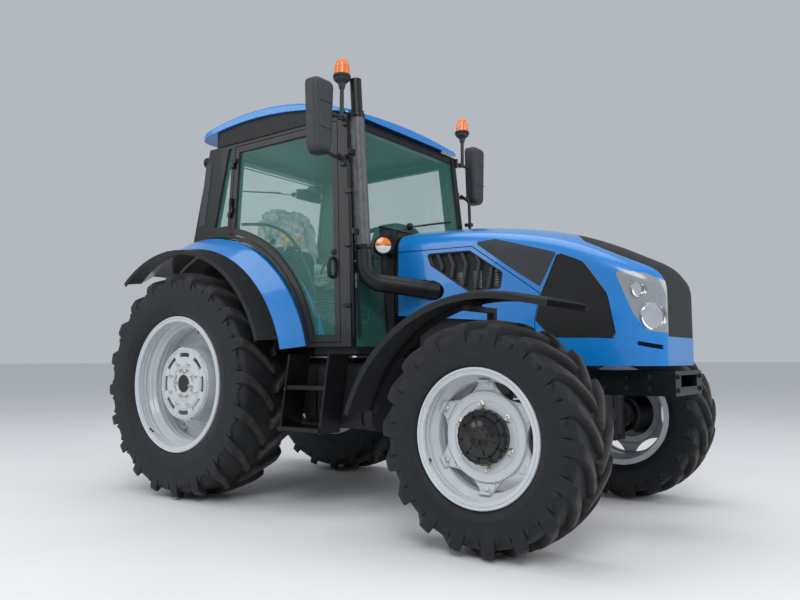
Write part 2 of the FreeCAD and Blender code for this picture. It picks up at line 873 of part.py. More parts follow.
arm_top = hub_z + 30
for side_name, out in SIDES:
    kingpin_y = S.kingpin_half * out
    pin_half = yoke_inside - S.seat_gap
    pieces = [
        rod("swivel_" + side_name, "z", (front_x, kingpin_y, hub_z - S.knuckle_half_height),
            S.knuckle_half_height * 2, S.knuckle_radius),
        rod("kingpin_" + side_name, "z", (front_x, kingpin_y, hub_z - pin_half), pin_half * 2, 28),
        rod("spindle_" + side_name, "y", (front_x, span(out, S.kingpin_half, S.spindle_end_half)[0], hub_z),
            S.spindle_end_half - S.kingpin_half, S.spindle_radius),
        block("arm_" + side_name, (front_x - S.steering_arm_length, front_x),
              span(out, S.kingpin_half - S.steering_arm_width / 2, S.kingpin_half + S.steering_arm_width / 2),
              (arm_top - 24, arm_top)),
        rod("arm_end_" + side_name, "z", (front_x - S.steering_arm_length, kingpin_y, arm_top - 24), 24,
            S.steering_arm_width / 2),
        block("strut_foot_" + side_name, (front_x - 145, front_x), span(out, S.kingpin_half - 18, S.kingpin_half + 18),
              (hub_z + 72, hub_z + 105)),
        block("strut_post_" + side_name, (front_x - 145, front_x - 145 + S.fender_strut),
              span(out, S.kingpin_half - 18, S.kingpin_half + 18), (hub_z + 72, hub_z + 632)),
        block("strut_arm_" + side_name, (front_x - 145, front_x - 145 + S.fender_strut),
              span(out, S.kingpin_half - 18, S.front_fender_outer - 90), (hub_z + 606, hub_z + 632)),
    ]
    node(joined("knuckle_" + side_name, pieces), "knuckle_" + side_name)

rod_x = front_x - S.steering_arm_length
rod_parts = [rod("tie_bar", "y", (rod_x, -S.kingpin_half, arm_top + 16), S.kingpin_half * 2, S.steering_rod_radius)]
for side_name, out in SIDES:
    rod_parts.append(rod("tie_eye_" + side_name, "z", (rod_x, S.kingpin_half * out, arm_top + S.seat_gap), 32, 28))
node(joined("steering_rod", rod_parts), "steering_rod")

# Front fenders

FENDER_FRONT = 22.0
FENDER_REAR = 44.0
FRONT_TAIL = (290.0, 9.0)
REAR_TAIL = (560.0, -3.0)


def front_fender_line(radius):
    """The fender's side line about the hub: front tail, arc over the tyre, rear tail."""
    ends = []
    for angle, (length, flare), forward in ((FENDER_FRONT, FRONT_TAIL, 1), (FENDER_REAR, REAR_TAIL, -1)):
        turn = math.radians(angle)
        start = (radius * math.sin(turn) * forward, radius * math.cos(turn))
        fall = math.radians(angle - flare)
        end = (start[0] + math.cos(fall) * length * forward, start[1] - math.sin(fall) * length)
        ends.append((start, end))
    return ends


for side_name, out in SIDES:
    wall = S.front_fender_wall
    outer_line = front_fender_line(S.front_fender_radius)
    inner_line = front_fender_line(S.front_fender_radius - wall)

    def at(point):
        return (point[0] + front_x, point[1] + hub_z)

    crown = at((0, S.front_fender_radius))
    crown_inner = at((0, S.front_fender_radius - wall))
    outline = [
        at(outer_line[0][1]),
        at(outer_line[0][0]) + crown,
        at(outer_line[1][0]),
        at(outer_line[1][1]),
        at(inner_line[1][1]),
        at(inner_line[1][0]) + crown_inner,
        at(inner_line[0][0]),
        at(inner_line[0][1]),
    ]
    low, high = span(out, S.front_fender_inner, S.front_fender_outer)
    sheet_piece = slab("fender_sheet_" + side_name, "XZ", [outline], low, high - low)
    seat = block("fender_boss_" + side_name, (front_x - 145, front_x - 145 + S.fender_strut),
                 span(out, S.front_fender_inner + 20, S.front_fender_outer - 90), (hub_z + 632, hub_z + 660))
    lip_line = front_fender_line(S.front_fender_radius - S.front_fender_lip)
    crown_lip = at((0, S.front_fender_radius - S.front_fender_lip))
    lip_outline = outline[:4] + [
        at(lip_line[1][1]),
        at(lip_line[1][0]) + crown_lip,
        at(lip_line[0][0]),
        at(lip_line[0][1]),
    ]
    low, high = span(out, S.front_fender_outer - wall, S.front_fender_outer)
    lip = slab("fender_lip_" + side_name, "XZ", [lip_outline], low, high - low)
    low, high = span(out, S.front_fender_inner, S.front_fender_inner + wall)
    inner_lip = slab("fender_inner_lip_" + side_name, "XZ", [lip_outline], low, high - low)
    shell = joined("fender_shell_" + side_name, [sheet_piece, lip, inner_lip])
    # plan of the fender: the front end narrows and its corners are round
    reach = (front_x - 1000, front_x + 700)
    plan = soft([
        (reach[0], S.front_fender_inner * out, 0), (reach[1], (S.front_fender_inner + 60) * out, 0),
        (reach[1], (S.front_fender_outer - 60) * out, 0), (front_x + 250, (S.front_fender_outer + 1) * out, 300),
        (reach[0], (S.front_fender_outer + 1) * out, 0)], 0)
    trimmed = common("fender_trimmed_" + side_name, shell,
                     slab("fender_plan_" + side_name, "XY", [plan], S.axle_tube_radius, 1400))
    node(joined("front_fender_" + side_name, [trimmed, seat]), "front_fender_" + side_name)

# Chassis

engine_back = rear_x + S.engine_rear
engine_ahead = rear_x + S.engine_front
node(joined("engine", [
    block("engine_block", (engine_back, engine_ahead), (-S.engine_half, S.engine_half),
          (S.engine_bottom, S.engine_top)),
    block("engine_sump", (engine_back + 60, engine_ahead - 200), (-S.sump_half, S.sump_half),
          (S.sump_bottom, S.engine_bottom)),
]), "engine")

case_back = rear_x - S.rear_case_back
lift_x = rear_x - S.link_pivot_x
case_front = rear_x + 210
case_side = [
    (case_back, S.gearbox_bottom - 30),
    (case_front, S.gearbox_bottom - 30),
    (case_front + 60, S.gearbox_bottom),
    (engine_back - 260, S.gearbox_bottom + 20),
    (engine_back, S.sump_bottom + 20),
    (engine_back, S.gearbox_top),
    (engine_back - 260, S.gearbox_top),
    (case_front, S.gearbox_top),
    (case_back + 60, S.gearbox_top + 20),
    (case_back, S.gearbox_top - 60),
]
transmission = joined("gear_train", [
    slab("gear_case", "XZ", [case_side], -S.gearbox_half, S.gearbox_half * 2),
    block("rear_case", (case_back, case_front), (-S.rear_case_half, S.rear_case_half),
          (S.gearbox_bottom - 20, S.gearbox_top - 80)),
    block("drop_box", (rear_x + 930, rear_x + 1060), (-110, 110), (S.gearbox_bottom - 110, S.gearbox_bottom + 60)),
    rod("drive_tube", "x", (rear_x + 1000, 0, hub_z - 60), front_x - S.axle_centre_radius - rear_x - 1000 + 8,
        S.drive_tube_radius),
    block("lift_case", (lift_x - 45, case_back + 40), (-140, 140), (S.lift_pivot_z - 60, S.lift_pivot_z + 45)),
    rod("pto_shaft", "x", (case_back - S.pto_length, 0, S.pto_z), S.pto_length + 20, S.pto_radius),
])
axle_hole = rod("axle_hole", "y", (front_x, -200, hub_z), 400, S.axle_centre_radius)
shaft_hole = rod("shaft_hole", "y", (lift_x, -200, S.lift_pivot_z), 400, S.lift_shaft_radius + S.seat_gap)
case_cut = cut("case_cut", transmission, joined("case_holes", [axle_hole, shaft_hole]))
link_mounts = [case_cut]
for side_name, out in SIDES:
    link_mounts.append(block("top_link_lug_" + side_name, (case_back - 151, case_back + 20), span(out, 19, 33),
                             (S.top_link_z - 26, S.top_link_z + 26)))
link_mounts.append(rod("top_link_pin", "y", (case_back - 125, -33, S.top_link_z), 66, S.lift_pin_radius))
for side_name, out in SIDES:
    link_mounts.append(block("link_lug_" + side_name, (lift_x - 35, case_back + 40),
                             span(out, S.rear_case_half - 40, S.link_pivot_half - 20),
                             (S.link_pivot_z - 35, S.gearbox_bottom + 30)))
    pin_y = span(out, S.link_pivot_half - 20, S.link_pivot_half + 20)
    link_mounts.append(rod("link_pin_" + side_name, "y", (lift_x, pin_y[0], S.link_pivot_z), 40, S.lift_pin_radius))
node(joined("transmission_whole", link_mounts), "transmission")

trumpets = []
for side_name, out in SIDES:
    seat_y = S.rear_track_half + can_face - S.disc_wall - S.wheel_flange_wall - S.seat_gap
    trumpets.append(turned_body("trumpet_" + side_name, [[
        (along * out, radius) for along, radius in (
            (S.rear_case_half, 0),
            (S.rear_case_half, S.trumpet_root_radius),
            (S.rear_case_half + 40, S.trumpet_root_radius),
            (S.rear_case_half + 130, S.trumpet_radius),
            (seat_y, S.trumpet_radius),
            (seat_y, 0))]], (rear_x, 0, S.rear_tyre_radius)))
node(grouped("rear_axle", trumpets), "rear_axle")

support_side = [
    (engine_ahead, S.bracket_bottom),
    (front_face, S.bracket_bottom),
    (front_face, S.bracket_top),
    (engine_ahead, S.bracket_top),
]
support = slab("support_casting", "XZ", [support_side], -S.bracket_half, S.bracket_half * 2)
lugs = []
for label, near in (("rear", -260), ("front", 160)):
    lugs.append(block("pivot_lug_" + label, (front_x + near, front_x + near + 60), (-80, 80),
                      (hub_z + 30, S.bracket_top - 90)))
window = block("bracket_window", (front_face - 110, front_face + 1),
               (-S.bracket_window_half, S.bracket_window_half),
               (S.bracket_top - 22 - S.bracket_window_height, S.bracket_top - 22))
pin_hole = rod("bracket_pin_hole", "z", (front_face - 55, 0, S.bracket_bottom - 10), 200, S.bracket_pin_radius)
node(cut("front_support_cut", joined("support_whole", [support] + lugs), joined("bracket_cuts", [window, pin_hole])),
     "front_support")

# Hood

# Sections: place ahead of the rear axle, half width, top at the centre line
HOOD_SECTIONS = (
    (1400, 350, 1768),
    (1600, 350, 1764),
    (1800, 350, 1756),
    (2000, 350, 1738),
    (2200, 350, 1708),
    (2400, 350, 1668),
    (2560, 350, 1621),
    (2690, 348, 1570),
    (2790, 340, 1524),
    (2870, 327, 1484),
    (2935, 309, 1452),
    (2985, 284, 1422),
    (3020, 255, 1386),
    (3036, 232, 1342),
)
# Share of the half width: where the shoulder starts below the top, how far it reaches in, how far the crown falls
SHOULDER_DROP = 0.43
SHOULDER_REACH = 0.31
CROWN_FALL = 0.13
DIAGONAL = math.sqrt(0.5)


def hood_outline(half, top, low, inset):
    """Cross-section (across, up): straight sides, round shoulders and a crowned top."""
    side = top - SHOULDER_DROP * half - inset
    reach = SHOULDER_REACH * half
    crown = top - CROWN_FALL * half - inset
    middle_y = half - inset - reach * (1 - DIAGONAL)
    middle_z = side + (crown - side) * DIAGONAL
    edge = half - inset - reach
    return [
        (inset - half, low),
        (half - inset, low),
        (half - inset, side, middle_y, middle_z),
        (edge, crown, 0, top - inset),
        (-edge, crown, -middle_y, middle_z),
        (inset - half, side),
    ]


def section_wire(x, outline):
    edges = []
    for number, point in enumerate(outline):
        following = outline[(number + 1) % len(outline)]
        start = V(x, point[0], point[1])
        end = V(x, following[0], following[1])
        if len(point) == 4:
            edges.append(Part.Arc(start, V(x, point[2], point[3]), end).toShape())
        else:
            edges.append(Part.makeLine(start, end))
    return Part.Wire(edges)


def hood_loft(name, inset):
    wires = []
    last = len(HOOD_SECTIONS) - 1
    low = float(S.hood_bottom) - (1 if inset else 0)
    for number, (along, half, top) in enumerate(HOOD_SECTIONS):
        x = float(rear_x) + along
        if number in (0, last):
            x -= inset
        wires.append(section_wire(x, hood_outline(half, top, low, inset)))
    piece = doc.addObject("Part::Feature", name)
    piece.Shape = Part.makeLoft(wires, True)
    return piece


def both_sides(name, outline, near, far):
    """The same XZ outline pushed out on both sides, between near and far from the middle."""
    pieces = []
    for side_name, out in SIDES:
        low, high = span(out, near, far)
        pieces.append(slab("%s_%s" % (name, side_name), "XZ", [outline], low, high - low))
    return grouped(name, pieces)


def from_rear_axle(points):
    return [(rear_x + point[0], as_size(point[1])) for point in points]


def hood_shell(name):
    return cut(name, hood_loft(name + "_outside", 0), hood_loft(name + "_inside", float(S.hood_wall)))


split_gap = S.moving_gap / 2
below_split = from_rear_axle((
    (1380, 800), (1380, S.hood_split_top), (1945, 1588), (2380, 1285), (S.hood_split_x, 1140),
    (S.hood_split_x, 800)))
above_split = [
    (rear_x + 1380, as_size(700)),
    (rear_x + 1380, S.hood_split_top + S.moving_gap),
    (rear_x + 1947, as_size(1588) + S.moving_gap),
    (rear_x + 2380 + S.moving_gap, as_size(1285) + split_gap),
    (rear_x + S.hood_split_x + S.moving_gap, as_size(1140)),
    (rear_x + S.hood_split_x + S.moving_gap, as_size(700)),
]
VENT = ((1652, 1498), (1622, 1572), (1930, 1566), (2150, 1420), (2133, 1328), (1922, 1322))
VENT_BARS = (1735, 1835, 1935, 2035, 2120)
MESH = ((2351, 1136, 0), (2387, 1283, 0), (2492, 1503, 30), (2640, 1440, 120), (2760, 1270, 160), (2805, 1030, 30),
        (2440, 1043, 20))
LAMP = ((2798, 1392, 22), (2953, 1362, 60), (3070, 1300, 0), (3070, 1050, 0), (2950, 1066, 30), (2893, 1150, 60))
BADGE = ((1963, 1612, 10), (2098, 1622, 10), (2485, 1507, 10), (2383, 1323, 6), (2226, 1424, 30))
NOSE = ((2500, 90, 60), (2590, 215, 60), (2790, 252, 0), (2960, 228, 0), (3070, 222, 0))


def ahead_of_axle(points):
    return [(rear_x + point[0],) + tuple(point[1:]) for point in points]


side_cut_low = slab("under_sides", "XZ", [from_rear_axle((
    (1370, 700), (1370, S.hood_side_bottom), (2150, S.hood_side_bottom - 60), (2360, 1000), (2360, 700)))], -500, 1000)
fixed_zone = cut("fixed_zone", slab("fixed_zone_full", "XZ", [below_split], -500, 1000), side_cut_low)
fixed_raw = common("hood_sides_raw", hood_shell("hood_fixed"), fixed_zone)
stack_low = vector(rear_x + S.stack_x + S.stack_lean, S.stack_y, S.stack_bottom)
elbow_end = vector(rear_x + S.elbow_x, S.elbow_y, S.elbow_z)
exhaust_hole = strut("exhaust_hole", stack_low, elbow_end + (elbow_end - stack_low) * 0.1,
                     S.elbow_radius + S.moving_gap)
vent_cuts = both_sides("vent_cut", soft(ahead_of_axle(VENT), 16), 300, 400)
node(cut("hood_sides", fixed_raw, joined("hood_side_cuts", [vent_cuts, exhaust_hole])), "hood_sides")

moving_zone = slab("moving_zone", "XZ", [above_split], -500, 1000)
moving_raw = cut("hood_moving", hood_shell("hood_tilting"), moving_zone)
mesh_zone = both_sides("mesh_zone", soft(ahead_of_axle(MESH), 0), 300, 400)
lamp_zone = both_sides("lamp_zone", soft(ahead_of_axle(LAMP), 0), 222, 400)
badge_zone = both_sides("badge_zone", soft(ahead_of_axle(BADGE), 0), 240, 400)
mirrored = [(point[0], -point[1], point[2]) for point in reversed(NOSE)]
nose_zone = cut("nose_zone", slab("nose_plan", "XY", [soft(ahead_of_axle(NOSE + tuple(mirrored)), 0)],
                                  S.hood_nose_bottom, 700), lamp_zone)
grilles = common("grille_pieces", moving_raw, joined("grille_zones", [mesh_zone, nose_zone]))
trim = common("trim_pieces", moving_raw, badge_zone)
slots = both_sides("nose_slot", soft([(rear_x + 2905, 992), (rear_x + 3022, 966), (rear_x + 3022, 990),
                                      (rear_x + 2905, 1014)], 9), 250, 400)
skin = cut("hood_skin", moving_raw, joined("hood_cuts", [mesh_zone, nose_zone, lamp_zone, badge_zone, slots]))

# Headlamps: bowls sunk in a thick lamp body. Place ahead of the rear axle, distance from the middle,
# height and radius of each lamp
LAMP_BOWLS = (("high", 2915, 308, 1278, 34), ("low", 2978, 275, 1140, 66))
LAMP_HEADING = 38
lamp_body = common("lamp_body", cut("lamp_hood", hood_loft("lamp_outside", 0), hood_loft("lamp_inside", float(S.lamp_wall))),
                   lamp_zone)
bowls = []
lenses = []
for side_name, out in SIDES:
    facing = V(math.cos(math.radians(LAMP_HEADING)), out * math.sin(math.radians(LAMP_HEADING)), 0)
    for label, ahead, across, height, radius in LAMP_BOWLS:
        name = "%s_%s" % (label, side_name)
        middle = vector(rear_x + ahead, across * out, height)
        bottom = middle - facing * float(S.lamp_bowl)
        bowls.append(strut("lamp_bowl_" + name, bottom, middle + facing * 60, radius))
        lenses.append(strut("lamp_lens_" + name, bottom - facing * 4, bottom + facing * 10, radius - 9))
lamps = joined("lamp_pieces", [cut("lamp_shell", lamp_body, joined("lamp_bowls", bowls))] + lenses)
hinge_x = rear_x + S.hood_hinge_x
eyes = []
eye_holes = []
for side_name, out in SIDES:
    eye_y = span(out, 20, 60)
    eyes.append(rod("hood_eye_" + side_name, "y", (hinge_x, eye_y[0], S.hood_hinge_z), 40, S.hood_hinge_eye))
    eyes.append(block("hood_lug_" + side_name, (hinge_x, hinge_x + 26), eye_y, (S.hood_hinge_z - 6,
                      S.hood_hinge_z + 30)))
    eye_holes.append(rod("hood_eye_hole_" + side_name, "y", (hinge_x, eye_y[0] - 5, S.hood_hinge_z), 50,
                         S.hood_hinge_radius + S.seat_gap))
shell = joined("hood_shell", [skin, cut("hood_eyes", joined("hood_eyes_whole", eyes), joined("eye_holes", eye_holes))])
node(shell, "hood_shell")
node(grilles, "hood_grilles")
node(trim, "hood_trim")
node(lamps, "headlamps")

# Vent grilles: a dark plate behind each opening with chevron bars
VENT_CENTRE = (1900, 1450)
wider = [(rear_x + VENT_CENTRE[0] + (x - VENT_CENTRE[0]) * 1.06, VENT_CENTRE[1] + (z - VENT_CENTRE[1]) * 1.12)
         for x, z in VENT]
hood_inside = S.hood_half - S.hood_wall - S.hood_fit
vent_pieces = []
for side_name, out in SIDES:
    low, high = span(out, hood_inside - S.vent_plate, hood_inside)
    pieces = [slab("vent_plate_" + side_name, "XZ", [soft(wider, 16)], low, high - low)]
    low, high = span(out, hood_inside, hood_inside + S.vent_bar)
    opening = slab("vent_shape_" + side_name, "XZ", [soft(ahead_of_axle(VENT), 16)], low, high - low)
    bars = []
    for number, knee in enumerate(VENT_BARS):
        x = rear_x + knee
        bars.append(slab("vent_bar_%d_%s" % (number, side_name), "XZ", [[
            (x - 62, as_size(1590)), (x - 44, as_size(1590)), (x + 8, as_size(1500)), (x - 22, as_size(1300)),
            (x - 40, as_size(1300)), (x - 12, as_size(1500))]], low, high - low))
    pieces.append(common("vent_bars_" + side_name, opening, joined("vent_bars_whole_" + side_name, bars)))
    vent_pieces.append(joined("vent_" + side_name, pieces))
node(grouped("vent_grilles", vent_pieces), "hood_vents")

# Cowl and dash

wheel_turn = FreeCAD.Rotation(V(0, 1, 0), -float(S.wheel_tilt))
wheel_axis = wheel_turn.multVec(V(0, 0, 1))
wheel_centre = vector(rear_x + S.wheel_x, 0, S.wheel_z)
cowl_front = rear_x + S.hood_rear - S.cowl_gap
cowl_back = rear_x + S.cowl_back
cowl_parts = [
    slab("cowl_ring", "YZ", [hood_outline(S.hood_half, S.hood_top, S.cab_floor, S.cowl_step)],
         cowl_back, cowl_front - cowl_back),
    block("dash", (rear_x + S.dash_back, cowl_back), (-S.dash_half, S.dash_half), (S.cab_floor, S.dash_top)),
]
for side_name, out in SIDES:
    cowl_parts.append(block("side_bracket_" + side_name, (cowl_front, rear_x + S.hood_rear + 40),
                            span(out, hood_inside - 12, hood_inside), (1220, 1560)))
    cowl_parts.append(block("hinge_arm_" + side_name, (cowl_front, hinge_x + 8), span(out, 62, 78),
                            (S.hood_hinge_z - 16, S.hood_hinge_z + 8)))
    pin_y = span(out, 20, 78)
    cowl_parts.append(rod("hinge_pin_" + side_name, "y", (hinge_x, pin_y[0], S.hood_hinge_z), 58,
                          S.hood_hinge_radius))


def indicator_place(out, ahead=0):
    """The middle of a front indicator's face, or a point ahead of it."""
    return vector(rear_x + S.indicator_x, S.indicator_half * out, S.indicator_z) + V(
        math.sqrt(0.5), out * math.sqrt(0.5), 0) * ahead


for side_name, out in SIDES:
    cowl_parts.append(strut("indicator_cup_" + side_name, indicator_place(out, -34), indicator_place(out),
                            S.indicator_radius))
    cowl_parts.append(strut("indicator_arm_" + side_name, indicator_place(out, -28),
                            (cowl_back + 30, (S.hood_half - 20) * out, S.indicator_z - 40), 20))
cowl_parts.append(strut("column", wheel_centre - wheel_axis * (60 + float(S.seat_gap)),
                        wheel_centre - wheel_axis * 330, 38))
node(joined("cowl", cowl_parts), "cowl")

# Cab

tilt = math.radians(float(S.cab_tilt))


def side_turn(out):
    return FreeCAD.Rotation(V(1, 0, 0), 90 + float(S.cab_tilt) * out)


def side_piece(name, out, outlines, depth, thickness):
    """Outlines (ahead of the rear axle, height) on the leaning cab side, depth in from its face."""
    inward = V(0, -out * math.cos(tilt), -math.sin(tilt))
    sketch = doc.addObject("Sketcher::SketchObject", name + "_outline")
    for number, outline in enumerate(outlines):
        draw(sketch, outline, "p%d" % number)
    corner = V(float(rear_x), float(S.cab_half) * out, float(S.cab_floor)) + inward * float(depth)
    sketch.Placement = FreeCAD.Placement(corner, side_turn(out))
    push = doc.addObject("Part::Extrusion", name)
    push.Base = sketch
    push.DirMode = "Custom"
    push.Dir = inward
    push.Solid = True
    push.FaceMakerClass = "Part::FaceMakerBullseye"
    bind(push, LengthFwd=thickness)
    return push


def up(height):
    """Height above the cab floor, along the leaning side."""
    return (as_size(height) - S.cab_floor) / math.cos(tilt)


def pillar_front(height, inset):
    """X of the front pillar's edge at a height, moved back by inset."""
    lean = (S.pillar_front_low - S.pillar_front_high) / (S.cab_top - S.cab_floor)
    return S.pillar_front_low - lean * (as_size(height) - S.cab_floor) - inset


def arch_height(across, radius):
    return S.arch_z + root(radius * radius - (across - S.arch_x) * (across - S.arch_x))


def arch_reach(height, radius):
    return S.arch_x + root(radius * radius - (height - S.arch_z) * (height - S.arch_z))


def side_outline(rear, bottom, radius, top, front_inset):
    """The door's outline or one parallel to it."""
    low_x = arch_reach(bottom, radius)
    rear_z = arch_height(rear, radius)
    middle = math.radians(45)
    return [
        (rear, up(rear_z), S.arch_x + radius * math.cos(middle), up(S.arch_z + radius * math.sin(middle))),
        (low_x, up(bottom)),
        (pillar_front(bottom, front_inset), up(bottom)),
        (pillar_front(top, front_inset), up(top)),
        (rear, up(top)),
    ]


def door_outline(inset):
    return side_outline(S.door_rear + inset, S.cab_floor + S.door_margin + inset,
                        S.cab_arch_radius + S.door_margin + inset, S.cab_top - S.door_margin - inset,
                        S.pillar_front_width + inset)


def quarter_outline():
    bottom = S.quarter_window_bottom
    top = S.cab_top - S.door_margin
    lean = (S.pillar_rear_high - S.pillar_rear_low) / (S.cab_top - arch_height(S.pillar_rear_low, S.cab_arch_radius))
    low = S.pillar_rear_low + S.pillar_rear_width
    return [(low, up(bottom)), (S.quarter_window_front, up(bottom)), (S.quarter_window_front, up(top)),
            (low + lean * (top - bottom), up(top))]


# Door hinges: height of each pin's foot above the cab floor, along the leaning side
DOOR_HINGES = (("low", 930), ("high", 1290))
hinge_line = S.door_rear - S.moving_gap / 2


def hinge_point(out, height):
    """A point on the door's hinge line, just outside the leaning side."""
    corner = vector(rear_x + hinge_line, S.cab_half * out, S.cab_floor)
    rise = V(0, -out * math.sin(tilt), math.cos(tilt)) * float(height)
    outward = V(0, out * math.cos(tilt), math.sin(tilt)) * float(S.door_hinge_out)
    return corner + rise + outward


def hinge_leaf(name, out, ahead, low):
    """The plate of a hinge on the cab side, behind (-1) or ahead (1) of the hinge line."""
    near, far = sorted((hinge_line, hinge_line + ahead * 24), key=float)
    high = low + S.door_hinge_length
    return side_piece(name, out, [[(near, low), (far, low), (far, high), (near, high)]],
                      -S.door_hinge_out - 4, S.door_hinge_out + 6)


frame_parts = []
for side_name, out in SIDES:
    frame_parts.append(rod("work_lamp_cup_" + side_name, "x", (rear_x + S.pillar_rear_high - 16 - 70,
                           S.work_lamp_half * out, S.work_lamp_z), 90, S.work_lamp_radius))
    for label, foot in DOOR_HINGES:
        name = "%s_%s" % (label, side_name)
        top = foot + S.door_hinge_length
        frame_parts += [
            hinge_leaf("frame_leaf_" + name, out, -1, foot),
            strut("frame_barrel_" + name, hinge_point(out, foot), hinge_point(out, top), S.door_hinge_radius),
            strut("hinge_pin_" + name, hinge_point(out, foot), hinge_point(out, top + S.door_hinge_length),
                  S.door_hinge_pin),
        ]
    rear_low = arch_height(S.pillar_rear_low, S.cab_arch_radius)
    middle = math.radians(50)
    outline = [
        (S.pillar_rear_low, up(rear_low), S.arch_x + S.cab_arch_radius * math.cos(middle),
         up(S.arch_z + S.cab_arch_radius * math.sin(middle))),
        (arch_reach(S.cab_floor, S.cab_arch_radius), up(S.cab_floor)),
        (S.pillar_front_low, up(S.cab_floor)),
        (S.pillar_front_high, up(S.cab_top)),
        (S.pillar_rear_high, up(S.cab_top)),
    ]
    frame_parts.append(side_piece("cab_side_" + side_name, out, [outline, door_outline(-S.moving_gap),
                                                                 quarter_outline()], 0, S.cab_wall))
top_half = S.cab_half - (S.cab_top - S.cab_floor) * math.tan(tilt) - 12
low_half = S.cab_half - (as_size(1760) - S.cab_floor) * math.tan(tilt) - 12
frame_parts += [
    block("front_header", (rear_x + S.pillar_front_high - 76, rear_x + S.pillar_front_high - 5),
          (-top_half, top_half), (S.cab_top - S.cab_rail, S.cab_top)),
    block("rear_header", (rear_x + S.pillar_rear_high, rear_x + S.pillar_rear_high + 90),
          (-top_half, top_half), (S.cab_top - S.cab_rail, S.cab_top)),
    block("rear_beam", (rear_x + S.pillar_rear_low + 2, rear_x + S.pillar_rear_low + 72),
          (-low_half, low_half), (1790, 1790 + S.cab_rail)),
]
node(joined("cab_frame", frame_parts), "cab_frame")

floor_back = rear_x + S.pillar_rear_low
node(joined("cab_floor", [
    block("floor_front", (rear_x + 985, rear_x + S.pillar_front_low), (-S.cab_half + 55, S.cab_half - 55),
          (S.cab_floor - S.cab_floor_wall, S.cab_floor)),
    block("floor_rear", (floor_back, rear_x + 985), (-S.fender_inner, S.fender_inner),
          (S.cab_floor - S.cab_floor_wall, S.cab_floor)),
    block("rear_wall", (floor_back, floor_back + 40), (-S.fender_inner, S.fender_inner), (S.cab_floor, 1790)),
    block("seat_box", (rear_x + 120, rear_x + 560), (-200, 200), (S.cab_floor, S.cab_floor + 330)),
]), "cab_floor")

for side_name, out in SIDES:
    door_parts = [side_piece("door_ring_" + side_name, out, [door_outline(0), door_outline(S.door_frame)], 0,
                             S.cab_wall)]
    pin_holes = []
    for label, foot in DOOR_HINGES:
        name = "%s_%s" % (label, side_name)
        low = foot + S.door_hinge_length + S.seat_gap
        door_parts.append(hinge_leaf("door_leaf_" + name, out, 1, low))
        door_parts.append(strut("door_barrel_" + name, hinge_point(out, low),
                                hinge_point(out, low + S.door_hinge_length), S.door_hinge_radius))
        pin_holes.append(strut("door_pin_hole_" + name, hinge_point(out, foot),
                               hinge_point(out, low + S.door_hinge_length + 10), S.door_hinge_pin + S.seat_gap))
    node(cut("door_ring_cut_" + side_name, joined("door_whole_" + side_name, door_parts),
             joined("door_pin_holes_" + side_name, pin_holes)), "door_frame_" + side_name)
    node(side_piece("door_glass_" + side_name, out, [door_outline(S.door_frame)], 12, S.glass),
         "door_glass_" + side_name)


def leaning_pane(name, outline, low, high):
    """A pane in the plane through two edges (ahead of the rear axle, height); outline is (Y, up)."""
    base = V(float(rear_x) + float(low[0]), 0, float(low[1]))
    rise = V(float(high[0]) - float(low[0]), 0, float(high[1]) - float(low[1]))
    lean = math.degrees(math.atan2(rise.x, rise.z))
    turn = FreeCAD.Rotation(V(0, 1, 0), lean).multiply(PLANE_TURN["YZ"])
    sketch = doc.addObject("Sketcher::SketchObject", name + "_outline")
    draw(sketch, outline)
    sketch.Placement = FreeCAD.Placement(base, turn)
    push = doc.addObject("Part::Extrusion", name)
    push.Base = sketch
    push.DirMode = "Normal"
    push.Solid = True
    push.LengthFwd = float(S.glass)
    return push


def cab_inside(height):
    """Half width between the cab's side walls at a height."""
    return (S.cab_half - S.cab_wall) - (as_size(height) - S.cab_floor) * math.tan(tilt) - S.seat_gap * 2


screen_low = (S.pillar_front_low - 20, S.cab_floor)
screen_high = (S.pillar_front_high - 20, S.cab_top)
screen_top = S.cab_top - S.cab_floor - S.cab_rail
front_pane = leaning_pane("windscreen", [
    (-cab_inside(S.cab_floor), S.seat_gap), (-S.hood_half - 4, S.seat_gap), (-S.hood_half - 4, as_size(790)),
    (S.hood_half + 4, as_size(790)), (S.hood_half + 4, S.seat_gap), (cab_inside(S.cab_floor), S.seat_gap),
    (cab_inside(S.cab_top - S.cab_rail), screen_top), (-cab_inside(S.cab_top - S.cab_rail), screen_top)],
    screen_low, screen_high)
node(front_pane, "front_glass")
rear_low_z = 1842
rear_pane = leaning_pane("rear_window", [
    (-cab_inside(rear_low_z + 10), as_size(4)), (cab_inside(rear_low_z + 10), as_size(4)), (cab_inside(S.cab_top), as_size(570)),
    (-cab_inside(S.cab_top), as_size(570))], (S.pillar_rear_low + 35, rear_low_z), (S.pillar_rear_high + 25, S.cab_top))
quarters = [side_piece("quarter_glass_" + side_name, out, [quarter_outline()], 12, S.glass)
            for side_name, out in SIDES]
node(grouped("rear_glass", [rear_pane] + quarters), "rear_glass")

# Roof

# Side lines of the blue shell: place ahead of the rear axle and height at the rear, middle and front
ROOF_TOP = ((-225, 2585), (420, 2661), (1250, 2496))
ROOF_UNDER = ((-225, 2546), (420, 2604), (1250, 2471))
ROOF_CROWN = 26
ROOF_STATIONS = 16


def curve_through(points):
    """The parabola through three points, as a function."""
    def height(x):
        total = 0
        for number, (own_x, own_z) in enumerate(points):
            share = own_z
            for other, (other_x, other_z) in enumerate(points):
                if other != number:
                    share *= (x - other_x) / (own_x - other_x)
            total += share
        return total
    return height


roof_top = curve_through(ROOF_TOP)
roof_under = curve_through(ROOF_UNDER)
roof_middle = float(S.roof_front + S.roof_rear) / 2
roof_reach = float(S.roof_front - S.roof_rear) / 2


